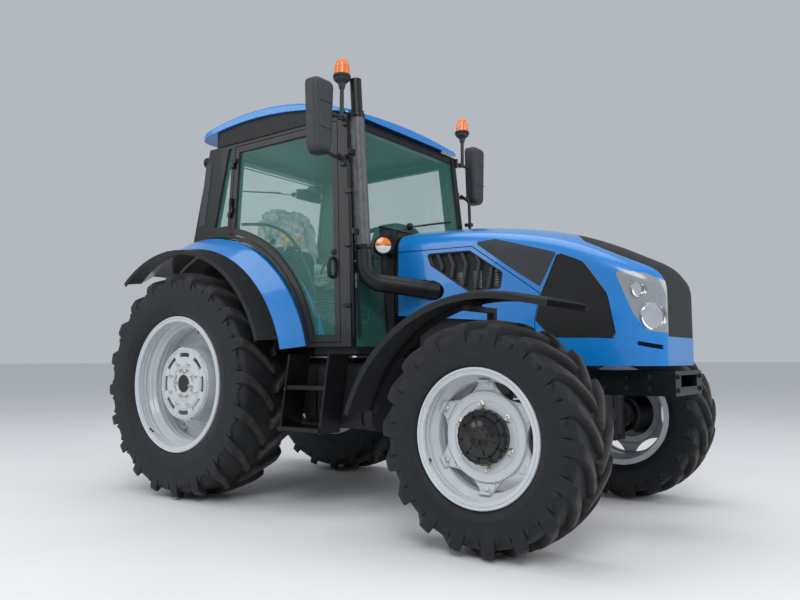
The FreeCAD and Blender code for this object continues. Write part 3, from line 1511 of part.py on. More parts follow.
def roof_half_width(along):
    """Half width in plan, with round corners at both ends."""
    corner = float(S.roof_corner)
    inset = corner - min(corner, roof_reach - abs(along - roof_middle))
    return float(S.roof_half) - corner + math.sqrt(max(0.0, corner * corner - inset * inset))


def roof_outline(half, top, low):
    edge = float(S.roof_edge)
    return [
        (-half, low),
        (half, low),
        (half, top - edge * 0.6, half - edge * 0.3, top - edge * 0.15),
        (half - edge * 1.5, top, 0, top + ROOF_CROWN),
        (edge * 1.5 - half, top, edge * 0.3 - half, top - edge * 0.15),
        (-half, top - edge * 0.6),
    ]


roof_shell = doc.addObject("Part::Feature", "roof_shell")
stations = [roof_middle - roof_reach * math.cos(math.pi * number / ROOF_STATIONS)
            for number in range(ROOF_STATIONS + 1)]
roof_shell.Shape = Part.makeLoft([
    section_wire(float(rear_x) + along, roof_outline(roof_half_width(along), roof_top(along), roof_under(along)))
    for along in stations], True)
node(roof_shell, "roof")

# Black tray between the cab's top and the shell, shaped to the shell's underside
tray_side = [(rear_x + along, as_size(roof_under(along)) - S.seat_gap) for along in stations[3:-3]]
tray_x = (tray_side[0][0], tray_side[-1][0])
tray_half = S.roof_half - S.roof_tray_inset
tray_full = slab("tray_side", "XZ", [[(tray_x[1], S.cab_top), (tray_x[0], S.cab_top)] + tray_side],
                 -tray_half, tray_half * 2)
tray_plan = soft([(tray_x[0], -tray_half), (tray_x[1], -tray_half), (tray_x[1], tray_half),
                  (tray_x[0], tray_half)], S.roof_corner)
node(common("tray", tray_full, slab("tray_plan", "XY", [tray_plan], S.cab_top, 300)), "roof_tray")

# Seat and steering wheel

seat_x = rear_x + S.seat_x
cushion = rounded("seat_cushion", block("cushion_block", (seat_x - 240, seat_x + 260), (-S.seat_half, S.seat_half),
                                        (S.seat_top - 130, S.seat_top)), 45, every_edge)
back_side = slab("seat_back_side", "XZ", [soft([
    (seat_x - 200, S.seat_top - 100), (seat_x - 290, S.seat_back_top, 50), (seat_x - 370, S.seat_back_top - 30, 50),
    (seat_x - 330, S.seat_top - 90)], 20)], -S.seat_half, S.seat_half * 2)
seat_parts = [
    block("seat_base", (seat_x - 200, seat_x + 200), (-180, 180), (S.cab_floor + 330, S.seat_top - 130)),
    cushion,
    back_side,
]
for side_name, out in SIDES:
    seat_parts.append(rounded("arm_rest_" + side_name, block(
        "arm_rest_block_" + side_name, (seat_x - 310, seat_x + 120), span(out, S.seat_half - 12, S.seat_half + 65),
        (S.seat_top + 130, S.seat_top + 190)), 22, every_edge))
node(joined("seat_whole", seat_parts), "seat")

ring = doc.addObject("Part::Torus", "wheel_ring")
bind(ring, Radius1=S.wheel_radius, Radius2=S.wheel_rim)
put(ring, (rear_x + S.wheel_x, 0, S.wheel_z), wheel_turn)
spokes = []
for angle in (90, 210, 330):
    spokes.append(strut("wheel_spoke_%d" % angle, wheel_centre - wheel_axis * 20, wheel_centre + wheel_turn.multVec(
        V(math.cos(math.radians(angle)), math.sin(math.radians(angle)), 0)) * float(S.wheel_radius), 9))
hub = strut("wheel_hub", wheel_centre - wheel_axis * 60, wheel_centre, 45)
node(joined("wheel_pieces", [ring, hub] + spokes), "steering_wheel")

# Rear fenders

fender_centre = (rear_x + S.arch_x, 0, S.arch_z)


def fender_ring(name, out, profile, low_angle, high_angle):
    """A profile (distance from the middle, radius) swept about the arch's centre."""
    points = [V(0, float(along) * out, float(radius)) for along, radius in profile]
    face = Part.Face(Part.makePolygon(points + points[:1]))
    face.rotate(V(0, 0, 0), V(0, 1, 0), 90 - float(low_angle))
    ring = doc.addObject("Part::Feature", name)
    ring.Shape = face.revolve(V(0, 0, 0), V(0, 1, 0), float(low_angle) - float(high_angle))
    return put(ring, fender_centre)


fenders = []
extensions = []
for side_name, out in SIDES:
    wall = S.fender_wall
    profile = [
        (S.fender_inner, 560), (S.fender_inner, S.fender_ridge_radius - 14),
        (S.fender_inner + 14, S.fender_ridge_radius), (S.fender_ridge, S.fender_ridge_radius),
        (S.fender_edge, S.fender_edge_radius), (S.fender_edge, S.fender_edge_radius - wall),
        (S.fender_ridge - 4, S.fender_ridge_radius - wall), (S.fender_inner + 18, S.fender_ridge_radius - wall),
        (S.fender_inner + wall, S.fender_ridge_radius - 20), (S.fender_inner + wall, 560)]
    fenders.append(fender_ring("rear_fender_" + side_name, out, profile, S.fender_front_angle, S.fender_rear_angle))
    profile = [
        (S.fender_edge, S.fender_edge_radius), (S.fender_outer, S.fender_outer_radius),
        (S.fender_outer, S.fender_outer_radius - 30), (S.fender_outer - wall, S.fender_outer_radius - 30),
        (S.fender_outer - wall, S.fender_outer_radius - wall), (S.fender_edge, S.fender_edge_radius - wall)]
    extensions.append(fender_ring("fender_edge_" + side_name, out, profile, S.fender_front_angle + 4,
                                  S.fender_rear_angle))
node(grouped("rear_fenders", fenders), "rear_fenders")
node(grouped("fender_extensions", extensions), "fender_extensions")

# Steps and tanks

tank_x = (rear_x + S.tank_back, rear_x + S.tank_front)
tanks = []
for side_name, out in SIDES:
    tank = block("tank_" + side_name, tank_x, span(out, S.tank_inner, S.tank_outer), (S.tank_bottom, S.tank_top))
    tanks.append(rounded("tank_round_" + side_name, tank, S.tank_corner, runs_along("x")))
node(grouped("side_tanks_pair", tanks), "side_tanks")

# Each cheek is a plate across the tractor that leans forward towards its top
cheek_low = S.step_low - 10
cheek_high = S.cab_floor - S.cab_floor_wall
ladders = []
for side_name, out in SIDES:
    pieces = []
    for label, along in (("rear", rear_x + S.step_back), ("front", rear_x + S.step_front - 14)):
        low, high = span(out, S.tank_outer + S.seat_gap, S.step_outer - 15)
        cheek = slab("step_cheek_%s_%s" % (label, side_name), "XZ", [[
            (along, cheek_low), (along + 14, cheek_low), (along + 14 + S.step_lean, cheek_high),
            (along + S.step_lean, cheek_high)]], low, high - low)
        pieces.append(cheek)
    for number in range(2):
        height = S.step_low + S.step_pitch * number
        shift = S.step_lean * (S.step_pitch * number + 10) / (cheek_high - cheek_low)
        pieces.append(block("step_%d_%s" % (number, side_name),
                            (rear_x + S.step_back + shift, rear_x + S.step_front + shift),
                            span(out, S.tank_outer + S.seat_gap, S.step_outer - 20 * number),
                            (height, height + S.step_wall)))
    ladders.append(joined("ladder_" + side_name, pieces))
node(grouped("ladders", ladders), "steps")

# Exhaust, on the right

stack_top = vector(rear_x + S.stack_x, S.stack_y, S.stack_top)
rise = (stack_top - stack_low).normalize()
node(joined("exhaust_pieces", [
    strut("stack", stack_low + rise * 150, stack_top, S.stack_radius),
    strut("stack_shield", stack_low + rise * 200, stack_top - rise * 210, S.stack_shield),
    pipe("elbow", [stack_low + rise * 190, stack_low, elbow_end], S.stack_bend, S.elbow_radius),
    rod("manifold", "y", (elbow_end.x, elbow_end.y - 10, elbow_end.z), -S.engine_half - elbow_end.y + 10,
        S.manifold_radius),
]), "exhaust")

# Mirrors, beacons and lamps

def side_face(height):
    """Distance from the middle to the cab side's outer face at a height."""
    return S.cab_half - (as_size(height) - S.cab_floor) * math.tan(tilt)


mirror_pieces = []
amber = []
arm_x = rear_x + S.mirror_x - 30
arm_high = S.cab_top - 40
arm_low = S.mirror_bottom + 50
beacon_x = rear_x + S.beacon_x
beacon_low = S.beacon_top - S.beacon_height
for side_name, out in SIDES:
    mid = S.mirror_half * out
    half = S.mirror_width / 2
    top = S.mirror_bottom + S.mirror_height
    shape = soft([(mid - half, top, 45), (mid - half * 0.75, S.mirror_bottom, 50), (mid + half * 0.75, S.mirror_bottom, 50),
                  (mid + half, top, 45)], 0)
    front_face = rear_x + S.mirror_x + S.mirror_depth / 2
    head = slab("mirror_shape_" + side_name, "YZ", [shape], front_face - S.mirror_depth, S.mirror_depth)
    doc.recompute()
    face_x = float(front_face)
    head = rounded("mirror_head_" + side_name, head, S.mirror_corner,
                   lambda edge: edge.BoundBox.XMin > face_x - 0.01)
    arm = pipe("mirror_arm_" + side_name, [
        (arm_x, (side_face(arm_high) + 5) * out, arm_high), (arm_x, S.mirror_half * out, arm_high + 15),
        (arm_x, S.mirror_half * out, arm_low), (arm_x, (side_face(arm_low - 30) + 5) * out, arm_low - 30)],
        60, S.mirror_tube)
    pieces = [head, arm]
    for label, height in (("high", arm_high), ("low", arm_low - 30)):
        inner = side_face(height - 35) + S.seat_gap
        pieces.append(block("mirror_plate_%s_%s" % (label, side_name), (arm_x - 22, arm_x + 22),
                            span(out, inner, inner + 16), (height - 35, height + 35)))
    pieces += [
        strut("beacon_stem_" + side_name, (beacon_x, S.beacon_half * out, arm_high),
              (beacon_x, S.beacon_half * out, beacon_low), S.mirror_tube),
        strut("beacon_clamp_" + side_name, (arm_x, S.beacon_half * out, arm_high),
              (beacon_x, S.beacon_half * out, arm_high), S.mirror_tube + 6),
        turned_up("beacon_foot_" + side_name, [(0, beacon_low - 70), (18, beacon_low - 70), (24, beacon_low - 40),
                                               (S.beacon_radius - 4, beacon_low - 16), (S.beacon_radius - 4, beacon_low),
                                               (0, beacon_low)], (beacon_x, S.beacon_half * out, 0)),
    ]
    mirror_pieces.append(joined("mirror_" + side_name, pieces))
    lens_top = S.beacon_top
    amber.append(turned_up("beacon_lens_" + side_name, [
        (0, beacon_low), (S.beacon_radius - 6, beacon_low), (S.beacon_radius - 9, beacon_low + 78),
        (S.beacon_radius - 20, lens_top - 14), (S.beacon_radius - 38, lens_top), (0, lens_top)],
        (beacon_x, S.beacon_half * out, 0)))
node(grouped("mirror_pair", mirror_pieces), "mirrors")

for side_name, out in SIDES:
    amber.append(strut("indicator_lens_" + side_name, indicator_place(out), indicator_place(out, 24),
                       S.indicator_radius - 8))
node(grouped("amber_pieces", amber), "amber_lamps")

lamp_x = rear_x + S.pillar_rear_high - 16
node(grouped("lamp_pieces_rear", [
    rod("work_lens_" + side_name, "x", (lamp_x - 76, S.work_lamp_half * out, S.work_lamp_z), 6, S.work_lamp_radius - 6)
    for side_name, out in SIDES]), "work_lamps")
node(grouped("rear_lamp_pieces", [
    fender_ring("rear_lamp_" + side_name, out, [
        (530, S.fender_ridge_radius + S.seat_gap), (530, S.fender_ridge_radius + 75),
        (700, S.fender_ridge_radius + 75), (700, S.fender_ridge_radius + S.seat_gap)], 116, 120)
    for side_name, out in SIDES]), "rear_lamps")

# Hitch

link_end_x = rear_x - S.rear_overhang + S.link_eye_radius
rod_at = S.lift_length / (lift_x - link_end_x)
rod_half = S.link_pivot_half + (S.link_end_half - S.link_pivot_half) * rod_at
arm_end_x = lift_x - S.lift_length

links = []
for side_name, out in SIDES:
    start = vector(lift_x, S.link_pivot_half * out, S.link_pivot_z)
    end = vector(link_end_x, S.link_end_half * out, S.link_pivot_z)
    run = end - start
    bar = doc.addObject("Part::Feature", "link_bar_" + side_name)
    bar.Shape = Part.makeBox(run.Length, float(S.link_wall), float(S.link_bar),
                             V(0, -float(S.link_wall) / 2, -float(S.link_bar) / 2))
    bar.Placement = FreeCAD.Placement(start, FreeCAD.Rotation(V(1, 0, 0), run))
    eye_y = span(out, S.link_end_half - S.link_eye_width / 2, S.link_end_half + S.link_eye_width / 2)
    eye = rod("link_eye_" + side_name, "y", (link_end_x, eye_y[0], S.link_pivot_z), S.link_eye_width,
              S.link_eye_radius)
    bore = rod("link_bore_" + side_name, "y", (link_end_x, eye_y[0] - 10, S.link_pivot_z), S.link_eye_width + 20,
               S.link_bore_radius)
    foot_y = span(out, S.link_pivot_half - 14, S.link_pivot_half + 14)
    foot = rod("link_foot_" + side_name, "y", (lift_x, foot_y[0], S.link_pivot_z), 28, S.link_bar / 2)
    holes = [bore]
    for label, hole_x in (("foot", lift_x), ("rod", arm_end_x)):
        holes.append(rod("link_%s_hole_%s" % (label, side_name), "y", (hole_x, span(out, 200, 500)[0], S.link_pivot_z),
                         300, S.lift_pin_radius + S.seat_gap))
    links.append(cut("link_" + side_name, joined("link_whole_" + side_name, [bar, eye, foot]),
                     joined("link_holes_" + side_name, holes)))
node(grouped("lower_links", links), "lower_links")

arm_half = rod_half + S.link_wall / 2
arms = [rod("lift_shaft", "y", (lift_x, -arm_half, S.lift_pivot_z), arm_half * 2, S.lift_shaft_radius)]
arm_holes = []
for side_name, out in SIDES:
    arms.append(block("lift_arm_" + side_name, (arm_end_x - 32, lift_x), span(out, arm_half - S.link_wall, arm_half),
                      (S.lift_pivot_z - 32, S.lift_pivot_z + 32)))
    arm_holes.append(rod("lift_arm_hole_" + side_name, "y", (arm_end_x, span(out, 200, 500)[0], S.lift_pivot_z), 300,
                         S.lift_pin_radius + S.seat_gap))
node(cut("lift_arms", joined("lift_arms_whole", arms), joined("lift_arm_holes", arm_holes)), "lift_arms")

rods = []
for side_name, out in SIDES:
    bar_half = rod_half + S.lift_rod_offset
    pieces = [rod("lift_bar_" + side_name, "z", (arm_end_x, bar_half * out, S.link_pivot_z),
                  S.lift_pivot_z - S.link_pivot_z, S.lift_rod_radius)]
    for label, height in (("low", S.link_pivot_z), ("high", S.lift_pivot_z)):
        pieces.append(rod("lift_eye_%s_%s" % (label, side_name), "y",
                          (arm_end_x, span(out, bar_half - 12, bar_half + 12)[0], height), 24, 26))
        pin_y = span(out, rod_half - 15, bar_half)
        pieces.append(rod("lift_pin_%s_%s" % (label, side_name), "y", (arm_end_x, pin_y[0], height),
                          pin_y[1] - pin_y[0], S.lift_pin_radius))
    rods.append(joined("lift_rod_" + side_name, pieces))
node(grouped("lift_rods", rods), "lift_rods")

# Top link, stowed upright between its lugs and a hook on the cab's rear wall
link_top_x = case_back - 125
top_link = joined("top_link_whole", [
    rod("top_link_foot", "y", (link_top_x, -18, S.top_link_z), 36, 26),
    rod("top_link_bar", "z", (link_top_x, 0, S.top_link_z), S.top_link_length, 14),
    rod("top_link_sleeve", "z", (link_top_x, 0, S.top_link_z + 120), S.top_link_length - 260, 22),
    rod("top_link_head", "y", (link_top_x, -20, S.top_link_z + S.top_link_length), 40, 28),
])
node(cut("top_link_bored", top_link, joined("top_link_holes", [
    rod("top_foot_hole", "y", (link_top_x, -40, S.top_link_z), 80, S.lift_pin_radius + S.seat_gap),
    rod("top_head_hole", "y", (link_top_x, -40, S.top_link_z + S.top_link_length), 80, 12.8)])), "top_link")

drawbar_front = case_back + 60
node(cut("drawbar", joined("drawbar_whole", [
    block("drawbar_bar", (drawbar_front - S.drawbar_length, drawbar_front + 200),
          (-S.drawbar_half, S.drawbar_half), (S.drawbar_z, S.drawbar_z + S.drawbar_wall)),
    block("drawbar_frame", (case_back, case_back + 90), (-160, 160), (S.drawbar_z, S.gearbox_bottom - 30)),
]), rod("drawbar_hole", "z", (drawbar_front - S.drawbar_length + 50, 0, S.drawbar_z - 10), 60,
        S.drawbar_pin_radius)), "drawbar")

# Export

doc.recompute()
for thing in doc.Objects:
    if "Invalid" in thing.State or "Error" in thing.State:
        raise ValueError("failed: %s (%s)" % (thing.Name, thing.State))
os.makedirs("parts", exist_ok=True)
for thing in nodes:
    shape = thing.Shape
    if shape.isNull() or not shape.isValid():
        raise ValueError("bad shape: " + thing.Label)
    shape.exportStep("parts/%s.step" % thing.Label)
    box = shape.BoundBox
    print("%-22s solids %d faces %4d volume %.5f m3 x %.0f..%.0f y %.0f..%.0f z %.0f..%.0f" % (
        thing.Label, len(shape.Solids), len(shape.Faces), shape.Volume / 1e9, box.XMin, box.XMax,
        box.YMin, box.YMax, box.ZMin, box.ZMax))
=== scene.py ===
import json
import math

import bmesh
import bpy
from mathutils import Matrix, Vector, noise
from mathutils.bvhtree import BVHTree

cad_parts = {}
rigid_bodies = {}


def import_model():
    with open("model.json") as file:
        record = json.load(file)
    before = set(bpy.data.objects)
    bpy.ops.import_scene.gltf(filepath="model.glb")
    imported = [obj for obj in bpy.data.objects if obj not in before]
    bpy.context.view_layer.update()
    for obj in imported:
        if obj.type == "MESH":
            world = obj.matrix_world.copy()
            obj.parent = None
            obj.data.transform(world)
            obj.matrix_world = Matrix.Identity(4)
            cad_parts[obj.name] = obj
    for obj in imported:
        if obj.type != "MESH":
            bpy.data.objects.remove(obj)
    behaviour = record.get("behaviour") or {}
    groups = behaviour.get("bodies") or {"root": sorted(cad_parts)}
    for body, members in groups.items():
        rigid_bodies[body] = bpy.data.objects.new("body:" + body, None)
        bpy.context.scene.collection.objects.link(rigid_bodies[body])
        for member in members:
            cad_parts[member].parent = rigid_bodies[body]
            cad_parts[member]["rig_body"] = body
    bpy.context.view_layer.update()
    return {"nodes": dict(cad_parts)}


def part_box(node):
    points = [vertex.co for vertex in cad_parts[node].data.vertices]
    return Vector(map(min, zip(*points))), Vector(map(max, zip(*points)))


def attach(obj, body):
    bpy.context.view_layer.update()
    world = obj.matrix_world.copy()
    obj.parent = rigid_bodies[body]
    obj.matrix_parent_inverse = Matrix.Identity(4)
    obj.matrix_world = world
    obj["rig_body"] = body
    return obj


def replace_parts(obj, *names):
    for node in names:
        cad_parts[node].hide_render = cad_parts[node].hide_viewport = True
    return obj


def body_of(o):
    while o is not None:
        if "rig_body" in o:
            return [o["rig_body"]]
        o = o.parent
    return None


# Farm tractor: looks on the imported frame. Metres. +X forward, +Y left, +Z up.

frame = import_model()
nodes = frame["nodes"]
SIDES = (("right", -1), ("left", 1))
UP = Vector((0, 0, 1))


def middle(name):
    low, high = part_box(name)
    return (low + high) / 2


def carrier(name):
    """The body that carries a CAD node."""
    return body_of(nodes[name])[0]


rear_axle = middle("rear_tyre_right")
front_axle = middle("front_tyre_right")


def ahead(along, across, height):
    """A point given by its distance ahead of the rear axle."""
    return Vector((rear_axle.x + along, across, height))


# Camera and lights

CAMERA_PLACE = Vector((3.193, -4.047, 0.915))
CAMERA_YAW = 2.21005
CAMERA_PITCH = 0.08291
CAMERA_ROLL = -0.00231
FOCAL_PIXELS = 729.2
PHOTO_WIDTH = 800
SENSOR = 36.0


def add_camera():
    data = bpy.data.cameras.new("camera")
    data.sensor_width = SENSOR
    data.lens = SENSOR * FOCAL_PIXELS / PHOTO_WIDTH
    camera = bpy.data.objects.new("camera", data)
    bpy.context.scene.collection.objects.link(camera)
    level = Vector((math.cos(CAMERA_YAW), math.sin(CAMERA_YAW), 0))
    view = level * math.cos(CAMERA_PITCH) + UP * math.sin(CAMERA_PITCH)
    right = view.cross(UP).normalized()
    above = right.cross(view)
    turned_right = right * math.cos(CAMERA_ROLL) + above * math.sin(CAMERA_ROLL)
    turned_above = above * math.cos(CAMERA_ROLL) - right * math.sin(CAMERA_ROLL)
    axes = Matrix((turned_right, turned_above, -view)).transposed()
    camera.matrix_world = Matrix.Translation(CAMERA_PLACE) @ axes.to_4x4()
    bpy.context.scene.camera = camera


def add_light(name, place, target, power, size):
    data = bpy.data.lights.new(name, "AREA")
    data.energy = power
    data.shape = "DISK"
    data.size = size
    light = bpy.data.objects.new(name, data)
    bpy.context.scene.collection.objects.link(light)
    light.location = place
    light.rotation_euler = (Vector(target) - Vector(place)).to_track_quat("-Z", "Y").to_euler()


# Materials


class Recipe:
    """A node material in the making: wires nodes by short calls."""

    def __init__(self, name):
        self.material = bpy.data.materials.new(name)
        self.material.use_nodes = True
        self.tree = self.material.node_tree
        self.shader = self.tree.nodes["Principled BSDF"]
        self.coords = self.tree.nodes.new("ShaderNodeTexCoord").outputs["Object"]

    def put(self, socket, value):
        """A link where the value is another node's output, else a constant."""
        if hasattr(value, "is_output"):
            self.tree.links.new(value, socket)
        elif hasattr(value, "__len__") and len(value) + 1 == len(socket.default_value):
            socket.default_value = (*value, 1)
        else:
            socket.default_value = value

    def feed(self, **values):
        """Sets the shader's sockets."""
        for key, value in values.items():
            self.put(self.shader.inputs[key.replace("_", " ")], value)

    def node(self, kind, inputs=(), **settings):
        made = self.tree.nodes.new(kind)
        for key, value in settings.items():
            setattr(made, key, value)
        for key, value in dict(inputs).items():
            self.put(made.inputs[key], value)
        return made

    def noise(self, scale, detail=4, rough=0.55):
        inputs = {"Vector": self.coords, "Scale": scale, "Detail": detail, "Roughness": rough}
        return self.node("ShaderNodeTexNoise", inputs).outputs["Fac"]

    def wave(self, scale, direction):
        inputs = {"Vector": self.coords, "Scale": scale}
        return self.node("ShaderNodeTexWave", inputs, bands_direction=direction).outputs["Fac"]

    def math(self, operation, first, second):
        return self.node("ShaderNodeMath", {0: first, 1: second}, operation=operation).outputs[0]

    def vector(self, operation, *inputs):
        made = self.node("ShaderNodeVectorMath", enumerate(inputs), operation=operation)
        return made.outputs["Value" if operation in ("LENGTH", "DOT_PRODUCT") else "Vector"]

    def from_axle(self, axle):
        """The way from an axle's line to the surface."""
        return self.vector("MULTIPLY", self.vector("SUBTRACT", self.coords, (axle.x, 0, axle.z)), (1, 0, 1))

    def ramp(self, value, *stops):
        """Stops are (place, colour) with the colour a grey or red, green and blue."""
        made = self.node("ShaderNodeValToRGB", {"Fac": value})
        for element, (place, colour) in zip(made.color_ramp.elements, stops):
            element.position = place
            element.color = (*colour, 1) if hasattr(colour, "__len__") else (colour, colour, colour, 1)
        return made.outputs["Color"]

    def patches(self, scale, detail, low, high, top=1.0, rough=0.55):
        """A mask that rises from 0 to top between two values of a noise."""
        return self.ramp(self.noise(scale, detail, rough), (low, 0.0), (high, top))

    def gloss(self, scale, detail, low, high):
        """Roughness that drifts between two values."""
        self.feed(Roughness=self.ramp(self.noise(scale, detail), (0.2, low), (0.8, min(1, high))))

    def step(self, value, low, high):
        """0 below low, 1 above high."""
        return self.node("ShaderNodeMapRange", {"Value": value, "From Min": low, "From Max": high}).outputs[0]

    def mix(self, amount, first, second):
        inputs = {0: amount, 6: first, 7: second}
        return self.node("ShaderNodeMix", data_type="RGBA", inputs=inputs).outputs[2]

    def bump(self, height, strength, distance):
        made = self.node("ShaderNodeBump", {"Height": height, "Strength": strength, "Distance": distance})
        self.feed(Normal=made.outputs["Normal"])


def scaled(colour, factor, add=0.0):
    return tuple(min(1, value * factor + add) for value in colour)


BLUE = (0.001, 0.20, 0.60)
DUST = (0.20, 0.175, 0.135)
LUG_DUST = (0.065, 0.056, 0.048)
# Near black: painted shade for the fender's faces that turn towards the rear wheel
BLOOM = (0.020, 0.022, 0.025)
RUBBER = (0.0080, 0.0095, 0.0120)
PAINTED_FENDER_SHADE = (0.006, 0.0065, 0.008)
# The grey shield of the exhaust stands between these heights
SHIELD = (1.600, 2.454)
SHIELD_EDGE = 0.002


def paint(name, colour, rough, coat, grain=0.03, dust=0.10, shine=0.5, wheel=None):
    """Sprayed paint: slight colour drift, orange peel under the gloss, dust. Near black as painted shade where
    it faces a wheel.
    """
    recipe = Recipe(name)
    base = recipe.mix(recipe.patches(2.5, 3, 0.3, 0.75), colour, scaled(colour, 0.86))
    base = recipe.mix(recipe.patches(7, 8, 0.52, 0.85, dust, 0.7), base, DUST)
    # Painted shade: faces that do not turn clearly away from the wheel's axle get near black instead of the
    # paint
    if wheel:
        normal = recipe.node("ShaderNodeNewGeometry").outputs["Normal"]
        facing = recipe.vector("DOT_PRODUCT", recipe.vector("NORMALIZE", recipe.from_axle(wheel)), normal)
        base = recipe.mix(recipe.step(facing, 0.22, 0.26), PAINTED_FENDER_SHADE, base)
    recipe.feed(Base_Color=base, Coat_Weight=coat, Coat_Roughness=0.04, Specular_IOR_Level=shine)
    recipe.gloss(60, 4, rough * 0.85, rough * 1.25)
    recipe.bump(recipe.noise(420, 2), grain, 0.001)
    return recipe.material


def plastic(name, colour, rough, grain=0.08):
    """Moulded plastic: fine leather-like grain, paler where it is scuffed."""
    recipe = Recipe(name)
    scuff = recipe.patches(9, 7, 0.5, 0.82, 0.22, 0.65)
    recipe.feed(Base_Color=recipe.mix(scuff, colour, scaled(colour, 2.0, 0.008)), Specular_IOR_Level=0.3)
    recipe.gloss(25, 5, rough * 0.85, rough * 1.2)
    cells = recipe.node("ShaderNodeTexVoronoi", {"Vector": recipe.coords, "Scale": 900})
    recipe.bump(cells.outputs["Distance"], grain, 0.0004)
    return recipe.material


def casting(name, colour):
    """Painted cast iron: sandy surface under the paint, oil and dust in patches."""
    recipe = Recipe(name)
    base = recipe.mix(recipe.patches(11, 8, 0.45, 0.75, 0.6, 0.7), colour, scaled(colour, 0.55, 0.01))
    dirt = recipe.patches(26, 9, 0.55, 0.8, 0.25, 0.75)
    recipe.feed(Base_Color=recipe.mix(dirt, base, scaled(DUST, 0.5)))
    recipe.gloss(18, 6, 0.48, 0.75)
    recipe.bump(recipe.noise(240, 6, 0.7), 0.35, 0.002)
    return recipe.material


def rubber(name, axle=None):
    """Rubber: near black with bloom, fine mould texture, and dust on the faces of a tyre's lugs."""
    recipe = Recipe(name)
    base = recipe.mix(recipe.patches(6, 8, 0.45, 0.8, 0.4, 0.7), RUBBER, BLOOM)
    if axle:
        worn = recipe.step(recipe.vector("LENGTH", recipe.from_axle(axle)), axle.z - 0.022, axle.z - 0.006)
        dusty = recipe.ramp(recipe.noise(17, 7, 0.7), (0.38, 0.1), (0.7, 0.85))
        base = recipe.mix(recipe.math("MULTIPLY", worn, dusty), base, LUG_DUST)
    recipe.feed(Base_Color=base, Sheen_Weight=0.05, Sheen_Roughness=0.5, Specular_IOR_Level=0.3)
    recipe.gloss(22, 6, 0.48, 0.68)
    recipe.bump(recipe.noise(300, 5, 0.7), 0.18, 0.0015)
    return recipe.material


def metal(name, colour, rough, scale=160):
    """Bare or plated metal with faint stains."""
    recipe = Recipe(name)
    stain = recipe.patches(14, 6, 0.4, 0.8, 0.5)
    recipe.feed(Base_Color=recipe.mix(stain, colour, scaled(colour, 0.7)), Metallic=1.0)
    recipe.gloss(scale, 4, rough * 0.8, rough * 1.3)
    recipe.bump(recipe.noise(scale * 3, 3), 0.06, 0.0005)
    return recipe.material


def clear(name, colour, solid):
    """Tinted glass: a thin film of colour that shows from every side, with sharp reflections."""
    recipe = Recipe(name)
    recipe.feed(Base_Color=recipe.mix(recipe.noise(1.3, 3), colour, scaled(colour, 0.8)), IOR=1.5,
                Roughness=recipe.ramp(recipe.noise(5, 2), (0.35, 0.0), (0.8, 0.01)),
                Alpha=recipe.ramp(recipe.noise(2, 2), (0.3, solid * 0.9), (0.8, solid * 1.1)))
    recipe.material.surface_render_method = "BLENDED"
    return recipe.material


def lens(name, colour, rough=0.08, pattern=140):
    """Moulded lamp lens: fine prisms behind a glossy face."""
    recipe = Recipe(name)
    recipe.feed(Base_Color=recipe.mix(recipe.patches(40, 3, 0.3, 0.8), colour, scaled(colour, 0.8)),
                Roughness=rough, Coat_Weight=1.0, Coat_Roughness=0.03)
    recipe.bump(recipe.wave(pattern, "Z"), 0.25, 0.002)
    return recipe.material


def woven(name, colour, scale=420):
    """Woven cloth."""
    recipe = Recipe(name)
    weave = recipe.math("MAXIMUM", recipe.wave(scale, "Y"), recipe.wave(scale, "Z"))
    tone = recipe.patches(12, 6, 0.35, 0.8, 0.7)
    recipe.feed(Base_Color=recipe.mix(tone, colour, scaled(colour, 0.6)), Sheen_Weight=0.3,
                Roughness=recipe.ramp(weave, (0.0, 0.95), (1.0, 0.8)))
    recipe.bump(weave, 0.4, 0.0008)
    return recipe.material


def perforated(name, colour, hole_shade, pitch):
    """Punched sheet: rows of holes in black steel, the holes near black as painted shade for the dark space
    behind.
    """
    recipe = Recipe(name)
    grid = recipe.vector("MULTIPLY", recipe.coords, (1 / pitch,) * 3)
    parts = recipe.node("ShaderNodeSeparateXYZ", {"Vector": grid}).outputs
    across = recipe.math("ADD", parts["X"], parts["Y"])
    waves = []
    for value in (across, parts["Z"]):
        waves.append(recipe.math("COSINE", recipe.math("MULTIPLY", value, 2 * math.pi), 0.0))
    holes = recipe.step(recipe.math("ADD", *waves), 0.1, 0.7)
    # The holes' colour is painted shade, standing in for the space seen through them
    recipe.feed(Base_Color=recipe.mix(holes, colour, hole_shade), Specular_IOR_Level=0.4,
                Roughness=recipe.ramp(holes, (0.0, 0.45), (1.0, 0.9)))
    recipe.bump(recipe.math("SUBTRACT", 1.0, holes), 0.6, 0.002)
    return recipe.material


def banded_steel(name):
    """The exhaust's paint: black pipe with a brushed grey shield between two heights."""
    recipe = Recipe(name)
    height = recipe.node("ShaderNodeSeparateXYZ", {"Vector": recipe.coords}).outputs["Z"]
    low, high = (recipe.step(height, edge - SHIELD_EDGE, edge + SHIELD_EDGE) for edge in SHIELD)
    shield = recipe.math("MULTIPLY", low, recipe.math("SUBTRACT", 1.0, high))
    brushed = recipe.ramp(recipe.noise(30, 6), (0.3, (0.075, 0.078, 0.085)), (0.8, (0.12, 0.122, 0.13)))
    black = recipe.ramp(recipe.noise(9, 6), (0.3, (0.005, 0.006, 0.008)), (0.85, (0.011, 0.012, 0.015)))
    recipe.feed(Base_Color=recipe.mix(shield, black, brushed), Metallic=0.1, Specular_IOR_Level=0.35)
    recipe.gloss(50, 4, 0.34, 0.5)
    recipe.bump(recipe.noise(350, 3), 0.05, 0.0006)
    return recipe.material


